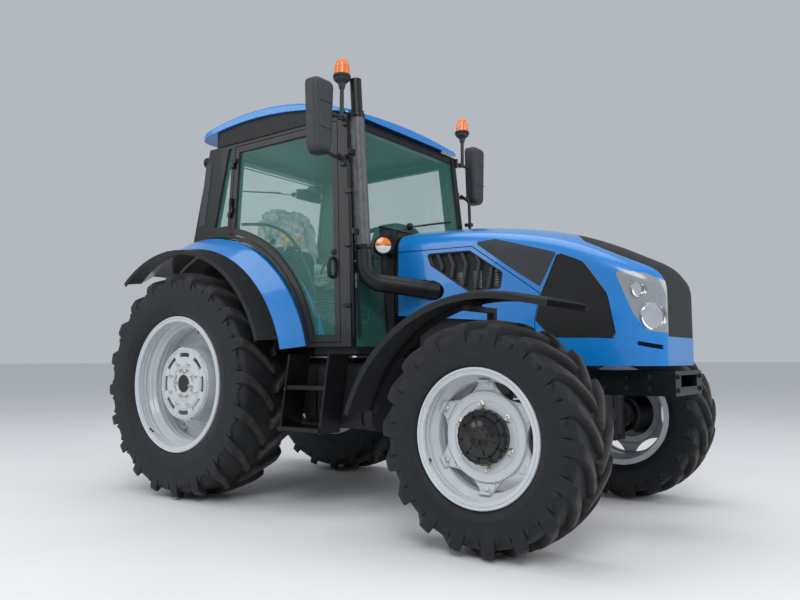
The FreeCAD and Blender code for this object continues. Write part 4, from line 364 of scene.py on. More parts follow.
def wrinkled_film(name):
    """Loose clear cover over the seat: milky film, paler on its folds as painted highlight, and denser there.
    """
    recipe = Recipe(name)
    folds = recipe.noise(9, 9, 0.75)
    # Painted highlight: the colour brightens towards the crests of the folds; the alpha rises there too
    recipe.feed(Base_Color=recipe.ramp(folds, (0.35, (0.42, 0.52, 0.49)), (0.65, (0.85, 0.92, 0.90))),
                Alpha=recipe.ramp(folds, (0.35, 0.40), (0.65, 0.88)))
    recipe.gloss(20, 5, 0.12, 0.3)
    recipe.bump(folds, 0.8, 0.02)
    recipe.material.surface_render_method = "BLENDED"
    return recipe.material


LOOKS = {name: make(name, *values) for name, make, *values in (
    ("blue", paint, BLUE, 0.30, 0.6),
    # Blue paint with painted shade, near black, on the fender's faces towards the rear wheel
    ("fender_blue", paint, BLUE, 0.30, 0.6, 0.03, 0.10, 0.5, rear_axle),
    ("black_paint", paint, (0.0055, 0.006, 0.007), 0.34, 0.12, 0.05, 0.06, 0.28),
    ("black_gloss", paint, (0.005, 0.0055, 0.006), 0.2, 0.4, 0.03, 0.05, 0.3),
    ("silver", paint, (0.56, 0.59, 0.62), 0.34, 0.35, 0.04),
    ("plastic", plastic, (0.0095, 0.0105, 0.012), 0.5),
    ("grey_plastic", plastic, (0.034, 0.037, 0.042), 0.5),
    ("mat", rubber),
    ("iron", casting, (0.012, 0.013, 0.015)),
    ("engine_iron", casting, (0.02, 0.022, 0.025)),
    ("rear_rubber", rubber, rear_axle),
    ("front_rubber", rubber, front_axle),
    ("seal", rubber),
    ("steel", metal, (0.55, 0.55, 0.56), 0.3),
    ("zinc", metal, (0.62, 0.60, 0.55), 0.35),
    ("chrome", metal, (0.85, 0.86, 0.88), 0.06, 40),
    ("mirror", metal, (0.80, 0.83, 0.86), 0.03, 10),
    ("glass", clear, (0.13, 0.50, 0.42), 0.12),
    ("lamp_grey", paint, (0.26, 0.28, 0.30), 0.25, 0.6, 0.02, 0.05),
    ("lamp", lens, (0.70, 0.73, 0.76)),
    ("amber", lens, (0.90, 0.20, 0.006), 0.12, 60),
    ("red_lens", lens, (0.60, 0.012, 0.010), 0.12, 90),
    ("cloth", woven, (0.030, 0.031, 0.035)),
    ("piping", woven, (0.10, 0.105, 0.11), 700),
    # the hole colour here is painted shade
    ("mesh", perforated, (0.0075, 0.008, 0.009), (0.0015, 0.0016, 0.002), 0.0055),
    ("exhaust", banded_steel),
    ("film", wrinkled_film),
    ("hazy", clear, (0.70, 0.76, 0.78), 0.16),
    ("orange_knob", plastic, (0.60, 0.13, 0.01), 0.45, 0.1),
    ("yellow_knob", plastic, (0.65, 0.42, 0.02), 0.45, 0.1),
    ("screen", lens, (0.010, 0.014, 0.018), 0.06, 300),
)}

# The CAD nodes of each look; a name that ends in _ stands for both sides
NODE_LOOKS = (
    ("blue", "hood_sides roof hood_shell"),
    ("fender_blue", "rear_fenders"),
    ("black_paint", "front_support steps cab_frame top_link lift_rods lower_links door_frame_"),
    ("black_gloss", "front_hub_"),
    ("silver", "rear_rim_ front_rim_"),
    ("plastic", "cowl side_tanks cab_floor fender_extensions roof_tray"),
    ("plastic", "hood_vents steering_wheel front_fender_"),
    ("grey_plastic", "mirrors hood_trim"),
    ("iron", "transmission rear_axle front_axle drawbar lift_arms knuckle_"),
    ("engine_iron", "engine"),
    ("rear_rubber", "rear_tyre_"),
    ("front_rubber", "front_tyre_"),
    ("steel", "steering_rod"),
    ("glass", "front_glass rear_glass door_glass_"),
    ("lamp_grey", "headlamps"),
    ("lamp", "work_lamps"),
    ("amber", "amber_lamps"),
    ("red_lens", "rear_lamps"),
    ("cloth", "seat"),
    ("mesh", "hood_grilles"),
    ("exhaust", "exhaust"),
)
for look, names in NODE_LOOKS:
    for name in names.split():
        for side_name in ("right", "left") if name.endswith("_") else ("",):
            slots = nodes[name + side_name].data.materials
            slots.clear()
            slots.append(LOOKS[look])

# Mesh tools

SMOOTH_ANGLE = math.radians(38)
BEVEL_ANGLE = math.radians(35)
ALMOST_STRAIGHT = math.radians(89)
BOX_FACES = ((0, 1, 3, 2), (4, 6, 7, 5), (0, 4, 5, 1), (2, 3, 7, 6), (0, 2, 6, 4), (1, 5, 7, 3))


def add_object(name, mesh, look):
    mesh.materials.append(LOOKS[look])
    piece = bpy.data.objects.new(name, mesh)
    bpy.context.scene.collection.objects.link(piece)
    return piece


class Build:
    """Collects parts of one piece: points and faces from several shapes."""

    def __init__(self):
        self.points = []
        self.faces = []

    def add(self, points, faces):
        first = len(self.points)
        self.points += [Vector(point) for point in points]
        self.faces += [tuple(first + number for number in face) for face in faces]
        return self

    def strip(self, rows, closed=False, caps=False):
        """Faces between rows of points, each row a ring when closed."""
        count = len(rows[0])
        total = count * len(rows)
        faces = []
        for row in range(0, total - count, count):
            for column in range(count if closed else count - 1):
                a = row + column
                b = row + (column + 1) % count
                faces.append((a, b, b + count, a + count))
        if caps:
            faces.append(tuple(range(count - 1, -1, -1)))
            faces.append(tuple(range(total - count, total)))
        return self.add([point for row in rows for point in row], faces)

    def box(self, one, other, turn=None, about=None):
        """A box between two corners, in whichever order, turned about a point."""
        spans = [sorted(pair) for pair in zip(one, other)]
        corners = [Vector((x, y, z)) for x in spans[0] for y in spans[1] for z in spans[2]]
        if turn:
            corners = [turn @ (corner - about) + about for corner in corners]
        return self.add(corners, BOX_FACES)

    def block(self, centre, half, turn=None):
        """A box about its centre."""
        half = Vector(half)
        return self.box(centre - half, centre + half, turn, centre)

    def turned(self, centre, axis, profile, steps=48, start=0.0, sweep=2 * math.pi):
        """A profile (along the axis, radius) turned about it."""
        axis = Vector(axis).normalized()
        first, second = cross_axes(axis)
        whole = sweep == 2 * math.pi
        rays = []
        for number in range(steps if whole else steps + 1):
            angle = start + sweep * number / steps
            rays.append(first * math.cos(angle) + second * math.sin(angle))
        rows = [[Vector(centre) + axis * along + ray * radius for ray in rays] for along, radius in profile]
        return self.strip(rows, closed=whole, caps=whole and profile[0][1] > 0 and profile[0] != profile[-1])

    def swept(self, path, radius, sides=12, closed=False, flat=1.0):
        """A round or flattened bar along a path."""
        rows = tube_rows(path, radius, sides, closed, flat)
        if closed:
            rows.append(rows[0])
        return self.strip(rows, closed=True, caps=not closed)

    def prism(self, outline, place, near, far):
        """An outline (a list of pairs) between two depths; place turns (pair, depth) into a point."""
        rows = [[place(pair, depth) for pair in outline] for depth in (near, far)]
        return self.strip(rows, closed=True, caps=True)

    def hex_bolt(self, place, axis, across, head, washer=True, stud=0.0):
        radius = across / 2 / math.cos(math.pi / 6)
        if washer:
            wide = across * 0.78
            low, high = head * 0.16, head * 0.22
            self.turned(place, axis, [(0, wide), (low, wide), (high, across * 0.7), (high, 0)], 20)
        self.turned(place, axis, [(head * 0.2, radius), (head * 0.9, radius), (head, radius * 0.86),
                                  (head, 0)], 6)
        if stud:
            thin = across * 0.3
            self.turned(place, axis, [(head, thin), (head + stud, thin), (head + stud * 1.1, 0)], 12)
        return self

    def piece(self, name, look, body="root", smooth=True, bevel=0.0, segments=2):
        """The mesh piece, riding on a body."""
        mesh = bpy.data.meshes.new(name)
        mesh.from_pydata([tuple(point) for point in self.points], [], self.faces)
        mesh.validate()
        repair = bmesh.new()
        repair.from_mesh(mesh)
        bmesh.ops.recalc_face_normals(repair, faces=repair.faces)
        repair.to_mesh(mesh)
        repair.free()
        if smooth:
            mesh.shade_smooth()
            mesh.set_sharp_from_angle(angle=SMOOTH_ANGLE)
        piece = add_object(name, mesh, look)
        if bevel:
            rounding = piece.modifiers.new("bevel", "BEVEL")
            rounding.width = bevel
            rounding.segments = segments
            rounding.limit_method = "ANGLE"
            rounding.angle_limit = BEVEL_ANGLE
        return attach(piece, body)


def cross_axes(axis):
    helper = UP if abs(axis.z) < 0.9 else Vector((1, 0, 0))
    first = helper.cross(axis).normalized()
    return first, axis.cross(first)


def tube_rows(path, radius, sides, closed, flat):
    path = [Vector(point) for point in path]
    count = len(path)
    turns = [2 * math.pi * k / sides for k in range(sides)]
    rows = []
    side = None
    for number, point in enumerate(path):
        before = path[(number - 1) % count] if closed or number else point
        after = path[(number + 1) % count] if closed or number < count - 1 else point
        along = (after - before).normalized()
        if side is None:
            side = cross_axes(along)[0]
        side = (side - along * side.dot(along)).normalized()
        other = along.cross(side)
        size = radius[number] if hasattr(radius, "__len__") else radius
        rows.append([point + side * math.cos(angle) * size + other * math.sin(angle) * size * flat
                     for angle in turns])
    return rows


def rounded_path(points, bend, steps=6):
    """Straight runs joined by arcs."""
    points = [Vector(point) for point in points]
    path = [points[0]]
    for before, corner, after in zip(points, points[1:], points[2:]):
        path += corner_arc(before - corner, corner, after - corner, bend, steps)
    return path + [points[-1]]


def corner_arc(before, corner, after, bend, steps):
    """The arc that rounds a corner between the ways to its neighbours."""
    half = before.angle(after) / 2
    if half > ALMOST_STRAIGHT:
        return [corner]
    trim = min(bend / math.tan(half), before.length * 0.49, after.length * 0.49)
    size = trim * math.tan(half)
    back, forth = before.normalized(), after.normalized()
    centre = corner + (back + forth).normalized() * (size / math.sin(half))
    start = (corner + back * trim - centre).normalized()
    end = (corner + forth * trim - centre).normalized()
    return [centre + start.slerp(end, number / steps) * size for number in range(steps + 1)]


def rounded_outline(points, bend, steps=5):
    """A closed outline of pairs with its corners rounded; a third value is that corner's own radius."""
    result = []
    for before, point, after in zip(points[-1:] + points[:-1], points, points[1:] + points[:1]):
        corner = Vector(point[:2])
        size = point[2] if len(point) > 2 else bend
        if size:
            result += corner_arc(Vector(before[:2]) - corner, corner, Vector(after[:2]) - corner, size, steps)
        else:
            result.append(corner)
    return [tuple(point) for point in result]


def smooth_through(points, steps=8):
    """A Catmull-Rom curve through the points."""
    points = [Vector(point) for point in points]
    last = len(points) - 1
    result = []
    for number in range(last):
        a, b, c, d = (points[min(max(number + k, 0), last)] for k in (-1, 0, 1, 2))
        for step in range(steps):
            t = step / steps
            result.append(0.5 * ((2 * b) + (c - a) * t + (2 * a - 5 * b + 4 * c - d) * t * t
                                 + (3 * b - a - 3 * c + d) * t ** 3))
    return result + [points[-1]]


def tree_of(*names):
    """The surfaces of some CAD nodes, to seat trim on."""
    points = []
    polygons = []
    for name in names:
        mesh = nodes[name].data
        first = len(points)
        points += [nodes[name].matrix_world @ vertex.co for vertex in mesh.vertices]
        polygons += [[first + number for number in polygon.vertices] for polygon in mesh.polygons]
    return BVHTree.FromPolygons(points, polygons)


def seat_on(tree, start, direction, lift=0.0):
    """Where a ray from start first meets the surface, lifted off it, and the normal there."""
    direction = Vector(direction).normalized()
    spot, normal, index, distance = tree.ray_cast(Vector(start), direction)
    if spot is None:
        return None, None
    if normal.dot(direction) > 0:
        normal = -normal
    return spot + normal * lift, normal


# Tyres: the tread is a grid whose columns follow the lugs' edges

LUG_HEIGHT = 0.038
LUG_WIDTH = 0.046
LUG_WALL = 0.009
TREAD_START = 0.22
# Tread stations from the centre line out: share of the half width at the lug's top and in the gap, drop of
# both below the tyre's radius in lug heights, how far the lug falls back and how wide it is, in lug widths
TREAD = (
    (0.012, 0.00, 0.012, 1.00, -0.60, 0.95),
    (0.045, 0.02, 0.030, 1.00, -0.525, 1.00),
    (0.060, 0.00, 0.060, 1.00, -0.45, 1.05),
    (0.18, 0.00, 0.18, 1.01, 0.22, 1.03),
    (0.32, 0.03, 0.32, 1.04, 1.00, 1.01),
    (0.50, 0.10, 0.50, 1.10, 1.98, 1.02),
    (0.66, 0.20, 0.66, 1.18, 2.74, 1.12),
    (0.80, 0.33, 0.79, 1.30, 3.28, 1.24),
    (0.90, 0.48, 0.87, 1.48, 3.60, 1.36),
    (0.955, 0.66, 0.915, 1.75, 3.76, 1.46),
    (0.985, 1.02, 0.94, 2.05, 3.84, 1.52),
    (0.998, 1.50, 0.955, 2.35, 3.90, 1.60),
    (1.002, 2.00, 0.966, 2.65, 3.94, 1.72),
    (1.003, 2.50, 0.985, 2.95, 3.97, 1.90),
    (1.003, 3.00, 1.000, 3.20, 4.00, 2.10),
    (1.002, 3.60, 1.002, 3.60, 4.00, 2.10),
)
POCKET_COLUMNS = 9
# Columns over a lug: place across it in half widths, and share of the lug's height
LUG_COLUMNS = ((-1.0, 0.0), (-1.0, 0.93), (-0.88, 1.0), (0.0, 1.0), (0.88, 1.0), (1.0, 0.93), (1.0, 0.0))
# Where the side wall swells into rings, by its points from the tread down
SIDE_RINGS = {5: 0.0015, 6: 0.0018, 14: 0.003, 15: 0.0035, 16: 0.002}


def ease(value):
    value = min(1.0, max(0.0, value))
    return value * value * (3 - 2 * value)


def pocket_lift(number, share):
    """How far a pocket between two lugs rises at a station: a bowl that shuts towards the side wall."""
    bowl = abs(2 * share - 1)
    lift = 0.04 * bowl ** 4
    if number > 7:
        shut = 12.6 - 2.6 * bowl ** 2.2
        lift = max(lift, ease((number - shut + 1.2) / 2.0))
    return lift


def tyre_mesh(centre, half, bead_half, flange, seat, lugs):
    """A lugged tyre with its axle along Y."""
    radius = centre.z
    pitch = 2 * math.pi / lugs
    per_lug = len(LUG_COLUMNS) + POCKET_COLUMNS
    around = per_lug * lugs
    build = Build()
    starts = {}
    for row, shift in ((1, 0), (-1, per_lug // 2)):
        offset = shift * pitch / per_lug
        stations = [[(0.0, radius - LUG_HEIGHT, math.pi + pitch * (column / per_lug - TREAD_START) + offset)
                     for column in range(around)]]
        for number, (top_share, top_drop, low_share, low_drop, back, wide) in enumerate(TREAD):
            top_half = wide * LUG_WIDTH / 2 / radius
            wall = LUG_WALL / radius * min(1.0, low_drop - top_drop)
            gap = pitch - 2 * (top_half + wall)
            # the lug starts flat on the centre line and is not full at the next station
            fullest = (0.0, 0.93)[number] if number < 2 else 1.0
            columns = []
            for place, lift in LUG_COLUMNS:
                angle = place * top_half + (0 if lift else math.copysign(wall, place))
                columns.append((angle, min(lift, fullest)))
            for column in range(POCKET_COLUMNS):
                share = (column + 1) / (POCKET_COLUMNS + 1)
                columns.append((top_half + wall + gap * share, pocket_lift(number, share)))
            station = []
            for lug in range(lugs):
                lug_angle = math.pi + lug * pitch + offset - back * LUG_WIDTH / radius
                for angle, lift in columns:
                    station.append(((low_share + (top_share - low_share) * lift) * half * row,
                                    radius - (low_drop + (top_drop - low_drop) * lift) * LUG_HEIGHT,
                                    lug_angle + angle))
            stations.append(station)
        low = radius - 3.6 * LUG_HEIGHT
        deep = flange - low
        side = smooth_through([
            (half * 1.002, low, 0), (half, low + deep * 0.3, 0), (half * 0.975, low + deep * 0.6, 0),
            (half * 0.92, low + deep * 0.84, 0), (bead_half + 0.006, flange + 0.006, 0),
            (bead_half, flange + 0.0015, 0)], 4)[1:]
        side.append(Vector((bead_half - 0.012, seat + 0.001, 0)))
        angles = [angle for across, distance, angle in stations[-1]]
        for number, point in enumerate(side):
            across = (point.x + SIDE_RINGS.get(number, 0)) * row
            stations.append([(across, point.y, angle) for angle in angles])
        build.strip([[centre + Vector((distance * math.sin(angle), across, distance * math.cos(angle)))
                      for across, distance, angle in station] for station in stations], closed=True)
        starts[row] = len(build.points) - around
    shift = per_lug // 2
    for column in range(around):
        after = (column + 1) % around
        build.faces.append((starts[1] + column, starts[1] + after, starts[-1] + (after - shift) % around,
                            starts[-1] + (column - shift) % around))
    return build


def at_side(axle, out):
    return Vector((axle.x, abs(axle.y) * out, axle.z))


# Half width of the tyre and at its beads, radius of the rim's flange and of the bead seat, and lugs a side
TYRES = (
    ("rear", rear_axle, 0.240, 0.195, 0.457, 0.432, 20),
    ("front", front_axle, 0.190, 0.155, 0.330, 0.305, 18),
)
WELD = 0.0002
for label, axle, *sizes in TYRES:
    for side_name, out in SIDES:
        name = "%s_tyre_%s" % (label, side_name)
        tyre = tyre_mesh(at_side(axle, out), *sizes).piece("tread_" + name, label + "_rubber", carrier(name))
        merge = bmesh.new()
        merge.from_mesh(tyre.data)
        bmesh.ops.remove_doubles(merge, verts=merge.verts, dist=WELD)
        bmesh.ops.recalc_face_normals(merge, faces=merge.faces)
        merge.to_mesh(tyre.data)
        merge.free()
        tyre.data.shade_smooth()
        tyre.data.set_sharp_from_angle(angle=SMOOTH_ANGLE)
        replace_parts(tyre, name)

# Wheels


def wheel_turn(angle):
    """Turns a shape about the axle, in degrees from forward."""
    return Matrix.Rotation(math.radians(-angle), 3, "Y")


class Wheel:
    """Shapes on a wheel, placed by distance out along its axle, radius and angle in degrees from forward."""

    def __init__(self, axle, out, side_name):
        self.centre = at_side(axle, out)
        self.out = out
        self.axle = (0, out, 0)
        self.side_name = side_name

    def point(self, along, radius, angle):
        turn = math.radians(angle)
        return self.centre + Vector((radius * math.cos(turn), along * self.out, radius * math.sin(turn)))

    def rings(self, build, beads, sides=10, steps=96):
        """Round beads about the axle, each with its distance, radius and thickness."""
        for along, radius, thick in beads:
            path = [self.point(along, radius, 360 * number / steps) for number in range(steps)]
            build.swept(path, thick, sides, closed=True)

    def bolts(self, build, count, first, along, radius, across, head, **options):
        """Hexagon heads evenly round the axle."""
        for number in range(count):
            spot = self.point(along, radius, 360 / count * number + first)
            build.hex_bolt(spot, self.axle, across, head, **options)

    def piece(self, build, name, look, node, **options):
        return build.piece(name + self.side_name, look, carrier(node + self.side_name), **options)


REAR_BARREL_RINGS = (
    (0.2035, 0.4495, 0.0075), (0.196, 0.424, 0.0045), (0.172, 0.4225, 0.003), (0.146, 0.4225, 0.0055),
    (0.1265, 0.4225, 0.0035), (0.104, 0.4055, 0.0035), (0.078, 0.3905, 0.0055), (0.045, 0.3905, 0.004),
    (0.004, 0.3905, 0.004))
REAR_DISC_RINGS = (
    (0.134, 0.236, 0.006), (0.1365, 0.224, 0.0025), (0.136, 0.110, 0.003), (0.1358, 0.171, 0.003),
    (0.1352, 0.0625, 0.003), (-0.026, 0.262, 0.006), (-0.029, 0.330, 0.006), (-0.029, 0.306, 0.0035))
FRONT_BARREL_RINGS = (
    (0.1635, 0.3225, 0.0075), (0.1655, 0.309, 0.003), (0.155, 0.2965, 0.0045), (0.122, 0.2955, 0.005),
    (0.101, 0.2950, 0.0035), (0.066, 0.2695, 0.0045), (0.020, 0.2695, 0.0035))
PAD_ANGLE = 11
REAR_PADS = ((0.121, 0.243, (0.008, 0.010, 0.030)), (0.1362, 0.221, (0.008, 0.0025, 0.018)))
SHAFT_END = [(0.1365, 0.0575), (0.1375, 0.0545), (0.120, 0.053), (0.118, 0.034), (0.132, 0.032),
             (0.134, 0.029), (0.134, 0)]
HUB_COVER = [(0.118, 0.098), (0.124, 0.093), (0.126, 0.060), (0.129, 0.056), (0.129, 0.052), (0.1275, 0.048),
             (0.1275, 0)]
BRACKET_ANGLE = 10
LOBE = [(-0.030, -0.052), (0.012, -0.034), (0.020, -0.024), (0.020, 0.024), (0.012, 0.034), (-0.030, 0.052)]
VALVE_SIZES = [0.006, 0.0045, 0.0045]

for side_name, out in SIDES:
    # rear: rolled flange, rings pressed in the barrel, pads round the disc, studs and the valve
    wheel = Wheel(rear_axle, out, side_name)
    beads = Build()
    wheel.rings(beads, REAR_BARREL_RINGS)
    wheel.rings(beads, REAR_DISC_RINGS, 8, 72)
    wheel.piece(beads, "rear_rim_rings_", "silver", "rear_rim_")
    pads = Build()
    for number in range(8):
        angle = 45 * number + PAD_ANGLE
        for along, radius, half in REAR_PADS:
            pads.block(wheel.point(along, radius, angle), half, wheel_turn(angle))
    wheel.piece(pads, "rear_can_pads_", "silver", "rear_rim_", bevel=0.003)
    studs = Build()
    wheel.bolts(studs, 4, 83, 0.1345, 0.0785, 0.022, 0.014, stud=0.010)
    wheel.bolts(studs, 8, 22.5, 0.1405, 0.142, 0.024, 0.012)
    wheel.bolts(studs, 8, BRACKET_ANGLE, -0.0265, 0.352, 0.022, 0.013)
    wheel.piece(studs, "rear_studs_", "zinc", "rear_rim_")
    brackets = Build()
    for number in range(8):
        angle = 45 * number + BRACKET_ANGLE
        spot = wheel.point(-0.036, 0.362, angle)
        brackets.block(spot, (0.030, 0.009, 0.034), wheel_turn(angle))
        brackets.box(spot + Vector((0.014, -0.018, -0.034)), spot + Vector((0.026, 0.034, 0.034)),
                     wheel_turn(angle), spot)
    wheel.piece(brackets, "rear_rim_brackets_", "silver", "rear_rim_", bevel=0.004)
    bore = Build().turned(wheel.centre, wheel.axle, SHAFT_END, 40)
    wheel.piece(bore, "rear_shaft_end_", "iron", "rear_rim_")
    foot, tip = wheel.point(0.180, 0.424, 232), wheel.point(0.212, 0.400, 232)
    valve = Build().swept([foot, foot.lerp(tip, 0.5), tip], VALVE_SIZES, 10)
    valve.swept([tip, tip + (tip - foot) * 0.35], 0.0065, 10)
    wheel.piece(valve, "rear_valve_", "seal", "rear_rim_")

    # front: double bead, lobes bolted to brackets on the barrel, nuts and the planetary cover
    wheel = Wheel(front_axle, out, side_name)
    beads = Build()
    wheel.rings(beads, FRONT_BARREL_RINGS)
    wheel.rings(beads, [(0.0685, 0.2085, 0.0055)], 10, 84)
    wheel.rings(beads, [(0.0705, 0.171, 0.003)], 8, 84)
    wheel.piece(beads, "front_rim_rings_", "silver", "front_rim_")
    brackets = Build()
    for number in range(6):
        angle = 60 * number + 30
        turn = wheel_turn(angle)
        spot = wheel.point(0.062, 0.250, angle)
        brackets.prism(rounded_outline(LOBE, 0.009),
                       lambda pair, depth: turn @ Vector((pair[0], depth * out, pair[1])) + spot,
                       -0.008, 0.0035)
        brackets.box(spot + Vector((0.006, -0.030, -0.030)), spot + Vector((0.019, 0.020, 0.030)), turn, spot)
    wheel.piece(brackets, "front_rim_brackets_", "silver", "front_rim_", bevel=0.002)
    bolts = Build()
    wheel.bolts(bolts, 6, 30, 0.0655, 0.252, 0.022, 0.013, stud=0.006)
    wheel.bolts(bolts, 6, 36, 0.0700, 0.153, 0.024, 0.015, stud=0.012)
    wheel.piece(bolts, "front_nuts_", "zinc", "front_rim_")
    foot, tip = wheel.point(0.140, 0.296, 205), wheel.point(0.170, 0.276, 205)
    line = [foot, foot.lerp(tip, 0.5), tip, tip + (tip - foot) * 0.3]
    valve = Build().swept(line, VALVE_SIZES + [0.006], 10)
    wheel.piece(valve, "front_valve_", "seal", "front_rim_")
    cover = Build().turned(wheel.centre, wheel.axle, HUB_COVER, 60)
    for number in range(0, 12, 2):
        arc = [wheel.point(0.1285, 0.040, 30 * number - 1 + step * 4) for step in range(9)]
        cover.swept(arc, 0.0022, 8)
        angle = 30 * number + 45
        cover.block(wheel.point(0.1275, 0.072, angle), (0.014, 0.003, 0.0025), wheel_turn(angle))
    wheel.rings(cover, [(0.111, 0.1265, 0.0035)], 8, 72)
    for number in range(24):
        angle = 15 * number
        cover.block(wheel.point(0.095, 0.130, angle), (0.003, 0.016, 0.004), wheel_turn(angle))
    wheel.piece(cover, "front_hub_cover_", "black_gloss", "front_hub_")
    screws = Build()
    wheel.bolts(screws, 10, 8, 0.1125, 0.1125, 0.013, 0.009)
    screws.turned(wheel.point(0.1270, 0.026, 250), wheel.axle, [(0, 0.012), (0.006, 0.012), (0.007, 0.010),
                                                                (0.007, 0)], 6)
    wheel.piece(screws, "front_hub_screws_", "black_paint", "front_hub_")

# Hood: vents, lamps, grilles and edges


def inside(outline, x, z):
    """Whether a point lies in a closed outline."""
    found = False
    for (x1, z1), (x2, z2) in zip(outline, outline[1:] + outline[:1]):
        if (z1 > z) != (z2 > z) and x < (x2 - x1) * (z - z1) / (z2 - z1) + x1:
            found = not found
    return found


VENT = ((1.652, 1.498), (1.622, 1.572), (1.930, 1.566), (2.150, 1.420), (2.133, 1.328), (1.922, 1.322))
VENT_MIDDLE = (1.895, 1.450)
VENT_BEND = 0.016
# Slats: where each one stands at its top, its knee and its foot, their heights and the section (across, deep)
SLATS = ((1.684, 1.726, 1.690), (1.765, 1.808, 1.772), (1.855, 1.898, 1.862), (1.946, 1.989, 1.953),
         (2.034, 2.077, 2.041))
SLAT_HEIGHTS = (1.60, 1.490, 1.30)
SLAT_HALF = 0.0115
HOOD_SIDE = 0.350
COILS = ((1.845, 0.022), (1.965, 0.030), (2.095, 0.016))


def vent_line(wide, high):
    """The vent's rounded outline, drawn in towards its middle."""
    x_middle, z_middle = VENT_MIDDLE
    drawn = [(x_middle + (x - x_middle) * wide, z_middle + (z - z_middle) * high) for x, z in VENT]
    return rounded_outline(drawn, VENT_BEND)


vent_outline = vent_line(1, 1)
for side_name, out in SIDES:
    line = [ahead(x, (HOOD_SIDE - 0.0035) * out, z) for x, z in vent_outline]
    slats = Build().swept(line, 0.0048, 8, closed=True)
    inner = vent_line(0.955, 0.93)
    rows = [[ahead(x, (HOOD_SIDE - deep) * out, z) for x, z in line] for line, deep in (
        (vent_outline, 0.002), (vent_outline, 0.010), (inner, 0.020), (inner, 0.034))]
    slats.strip([list(row) for row in zip(*rows)] + [[row[0] for row in rows]])
    for knees in SLATS:
        ends = [Vector(pair) for pair in zip(knees, SLAT_HEIGHTS)]
        line = [ends[run].lerp(ends[run + 1], share / 20) for run in range(2) for share in range(20)]
        line = [point for point in line if inside(vent_outline, *point)]
        rows = []
        for number, point in enumerate(line):
            full = min(1.0, 0.35 + 0.65 * min(number, len(line) - 1 - number) / 2)
            half = SLAT_HALF * (0.82 + 0.18 * full)
            section = ((-1.0, 0.030), (-1.0, 0.010), (-0.8, 0.0065), (0.0, 0.0045 + 0.004 * (1 - full)),
                       (0.8, 0.0075), (1.0, 0.011), (1.0, 0.030))
            rows.append([ahead(point.x + across * half, (HOOD_SIDE - deep) * out, point.y)
                         for across, deep in section])
        slats.strip(rows, closed=True, caps=True)
    slats.piece("vent_slats_" + side_name, "grey_plastic")
    back = Build().prism(vent_line(1.0, 0.985), lambda pair, depth: ahead(pair[0], depth * out, pair[1]),
                         0.3200, 0.3225).piece("vent_mesh_" + side_name, "mesh", smooth=False)
    if out < 0:
        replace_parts(back, "hood_vents")
    coils = Build()
    for number in range(11):
        height = 1.345 + 0.0095 * number
        for x, half in COILS:
            loop = [ahead(x + half * math.cos(turn), (0.3235 + 0.0035 * math.sin(turn)) * out, height)
                    for turn in (2 * math.pi * k / 12 for k in range(12))]
            if inside(vent_outline, x, height):
                coils.swept(loop, 0.0016, 6, closed=True)
    coils.piece("vent_coils_" + side_name, "steel")

# Grille windows: a fine rim, and an air filter that stands behind the mesh
MESH_RIM = ((2.391, 1.283, 0), (2.492, 1.503, 0.030), (2.640, 1.440, 0.120), (2.760, 1.270, 0.160),
            (2.805, 1.030, 0.030), (2.440, 1.043, 0.020), (2.356, 1.136, 0))
hood_tree = tree_of("hood_shell", "hood_grilles", "hood_trim")
hood_body = carrier("hood_shell")
for side_name, out in SIDES:
    line = [(x, z, 0) for x, z in rounded_outline(MESH_RIM, 0.0, 8)[:-2]]
    path = [seat_on(hood_tree, ahead(point.x, 0.6 * out, point.y), (0, -out, 0), 0.0006)[0]
            for point in smooth_through(line, 2)]
    rim = Build().swept([point for point in path if point], 0.0022, 8)
    rim.piece("grille_rim_" + side_name, "black_gloss", hood_body)
    Build().turned(ahead(2.535, 0.262 * out, 1.050), UP, [
        (0, 0.0), (0.0, 0.048), (0.020, 0.052), (0.030, 0.052), (0.034, 0.046), (0.36, 0.046), (0.364, 0.052),
        (0.372, 0.052), (0.380, 0.040), (0.380, 0.0)], 40).piece("filter_can_" + side_name, "engine_iron")

# Headlamps: reflectors, rings and bulbs in the bowls; each bowl's place, radius, and whether it has spokes
LAMP_BOWLS = ((2.915, 0.308, 1.278, 0.034, False), (2.978, 0.275, 1.140, 0.066, True))
BOWL_GAP = 0.0015
LAMP_FACING = math.radians(38)
for side_name, out in SIDES:
    facing = Vector((math.cos(LAMP_FACING), out * math.sin(LAMP_FACING), 0))
    first, second = cross_axes(facing)
    shine = Build()
    rings = Build()
    bulbs = Build()
    for along, across, height, radius, spokes in LAMP_BOWLS:
        bottom = ahead(along, across * out, height) - facing * 0.024
        bowl = radius - BOWL_GAP
        shine.turned(bottom, facing, [(0.0265, bowl), (0.019, bowl * 0.93), (0.0125, bowl * 0.74),
                                      (0.0110, bowl * 0.5), (0.0105, 0.0)])
        rings.turned(bottom, facing, [(0.022, bowl - 0.001), (0.030, bowl + 0.0015), (0.0335, bowl + 0.0055),
                                      (0.030, bowl + 0.0095), (0.020, bowl + 0.010)])
        bulbs.turned(bottom, facing, [(0.010, bowl * 0.50), (0.0165, bowl * 0.46), (0.021, bowl * 0.30),
                                      (0.0225, 0.0)], 40)
        if spokes:
            rings.turned(bottom, facing, [(0.012, bowl * 0.66), (0.021, bowl * 0.63), (0.0215, bowl * 0.57),
                                          (0.012, bowl * 0.55)])
            for number in range(3):
                angle = 2 * math.pi * number / 3 + math.pi / 2
                ray = (first * math.cos(angle) + second * math.sin(angle)) * bowl
                shine.swept([bottom + facing * 0.0135 + ray * 0.6, bottom + facing * 0.020 + ray * 0.94],
                            0.0022, 8)
    shine.piece("lamp_reflectors_" + side_name, "chrome", hood_body)
    rings.piece("lamp_rings_" + side_name, "chrome", hood_body)
    bulbs.piece("lamp_lenses_" + side_name, "hazy", hood_body)

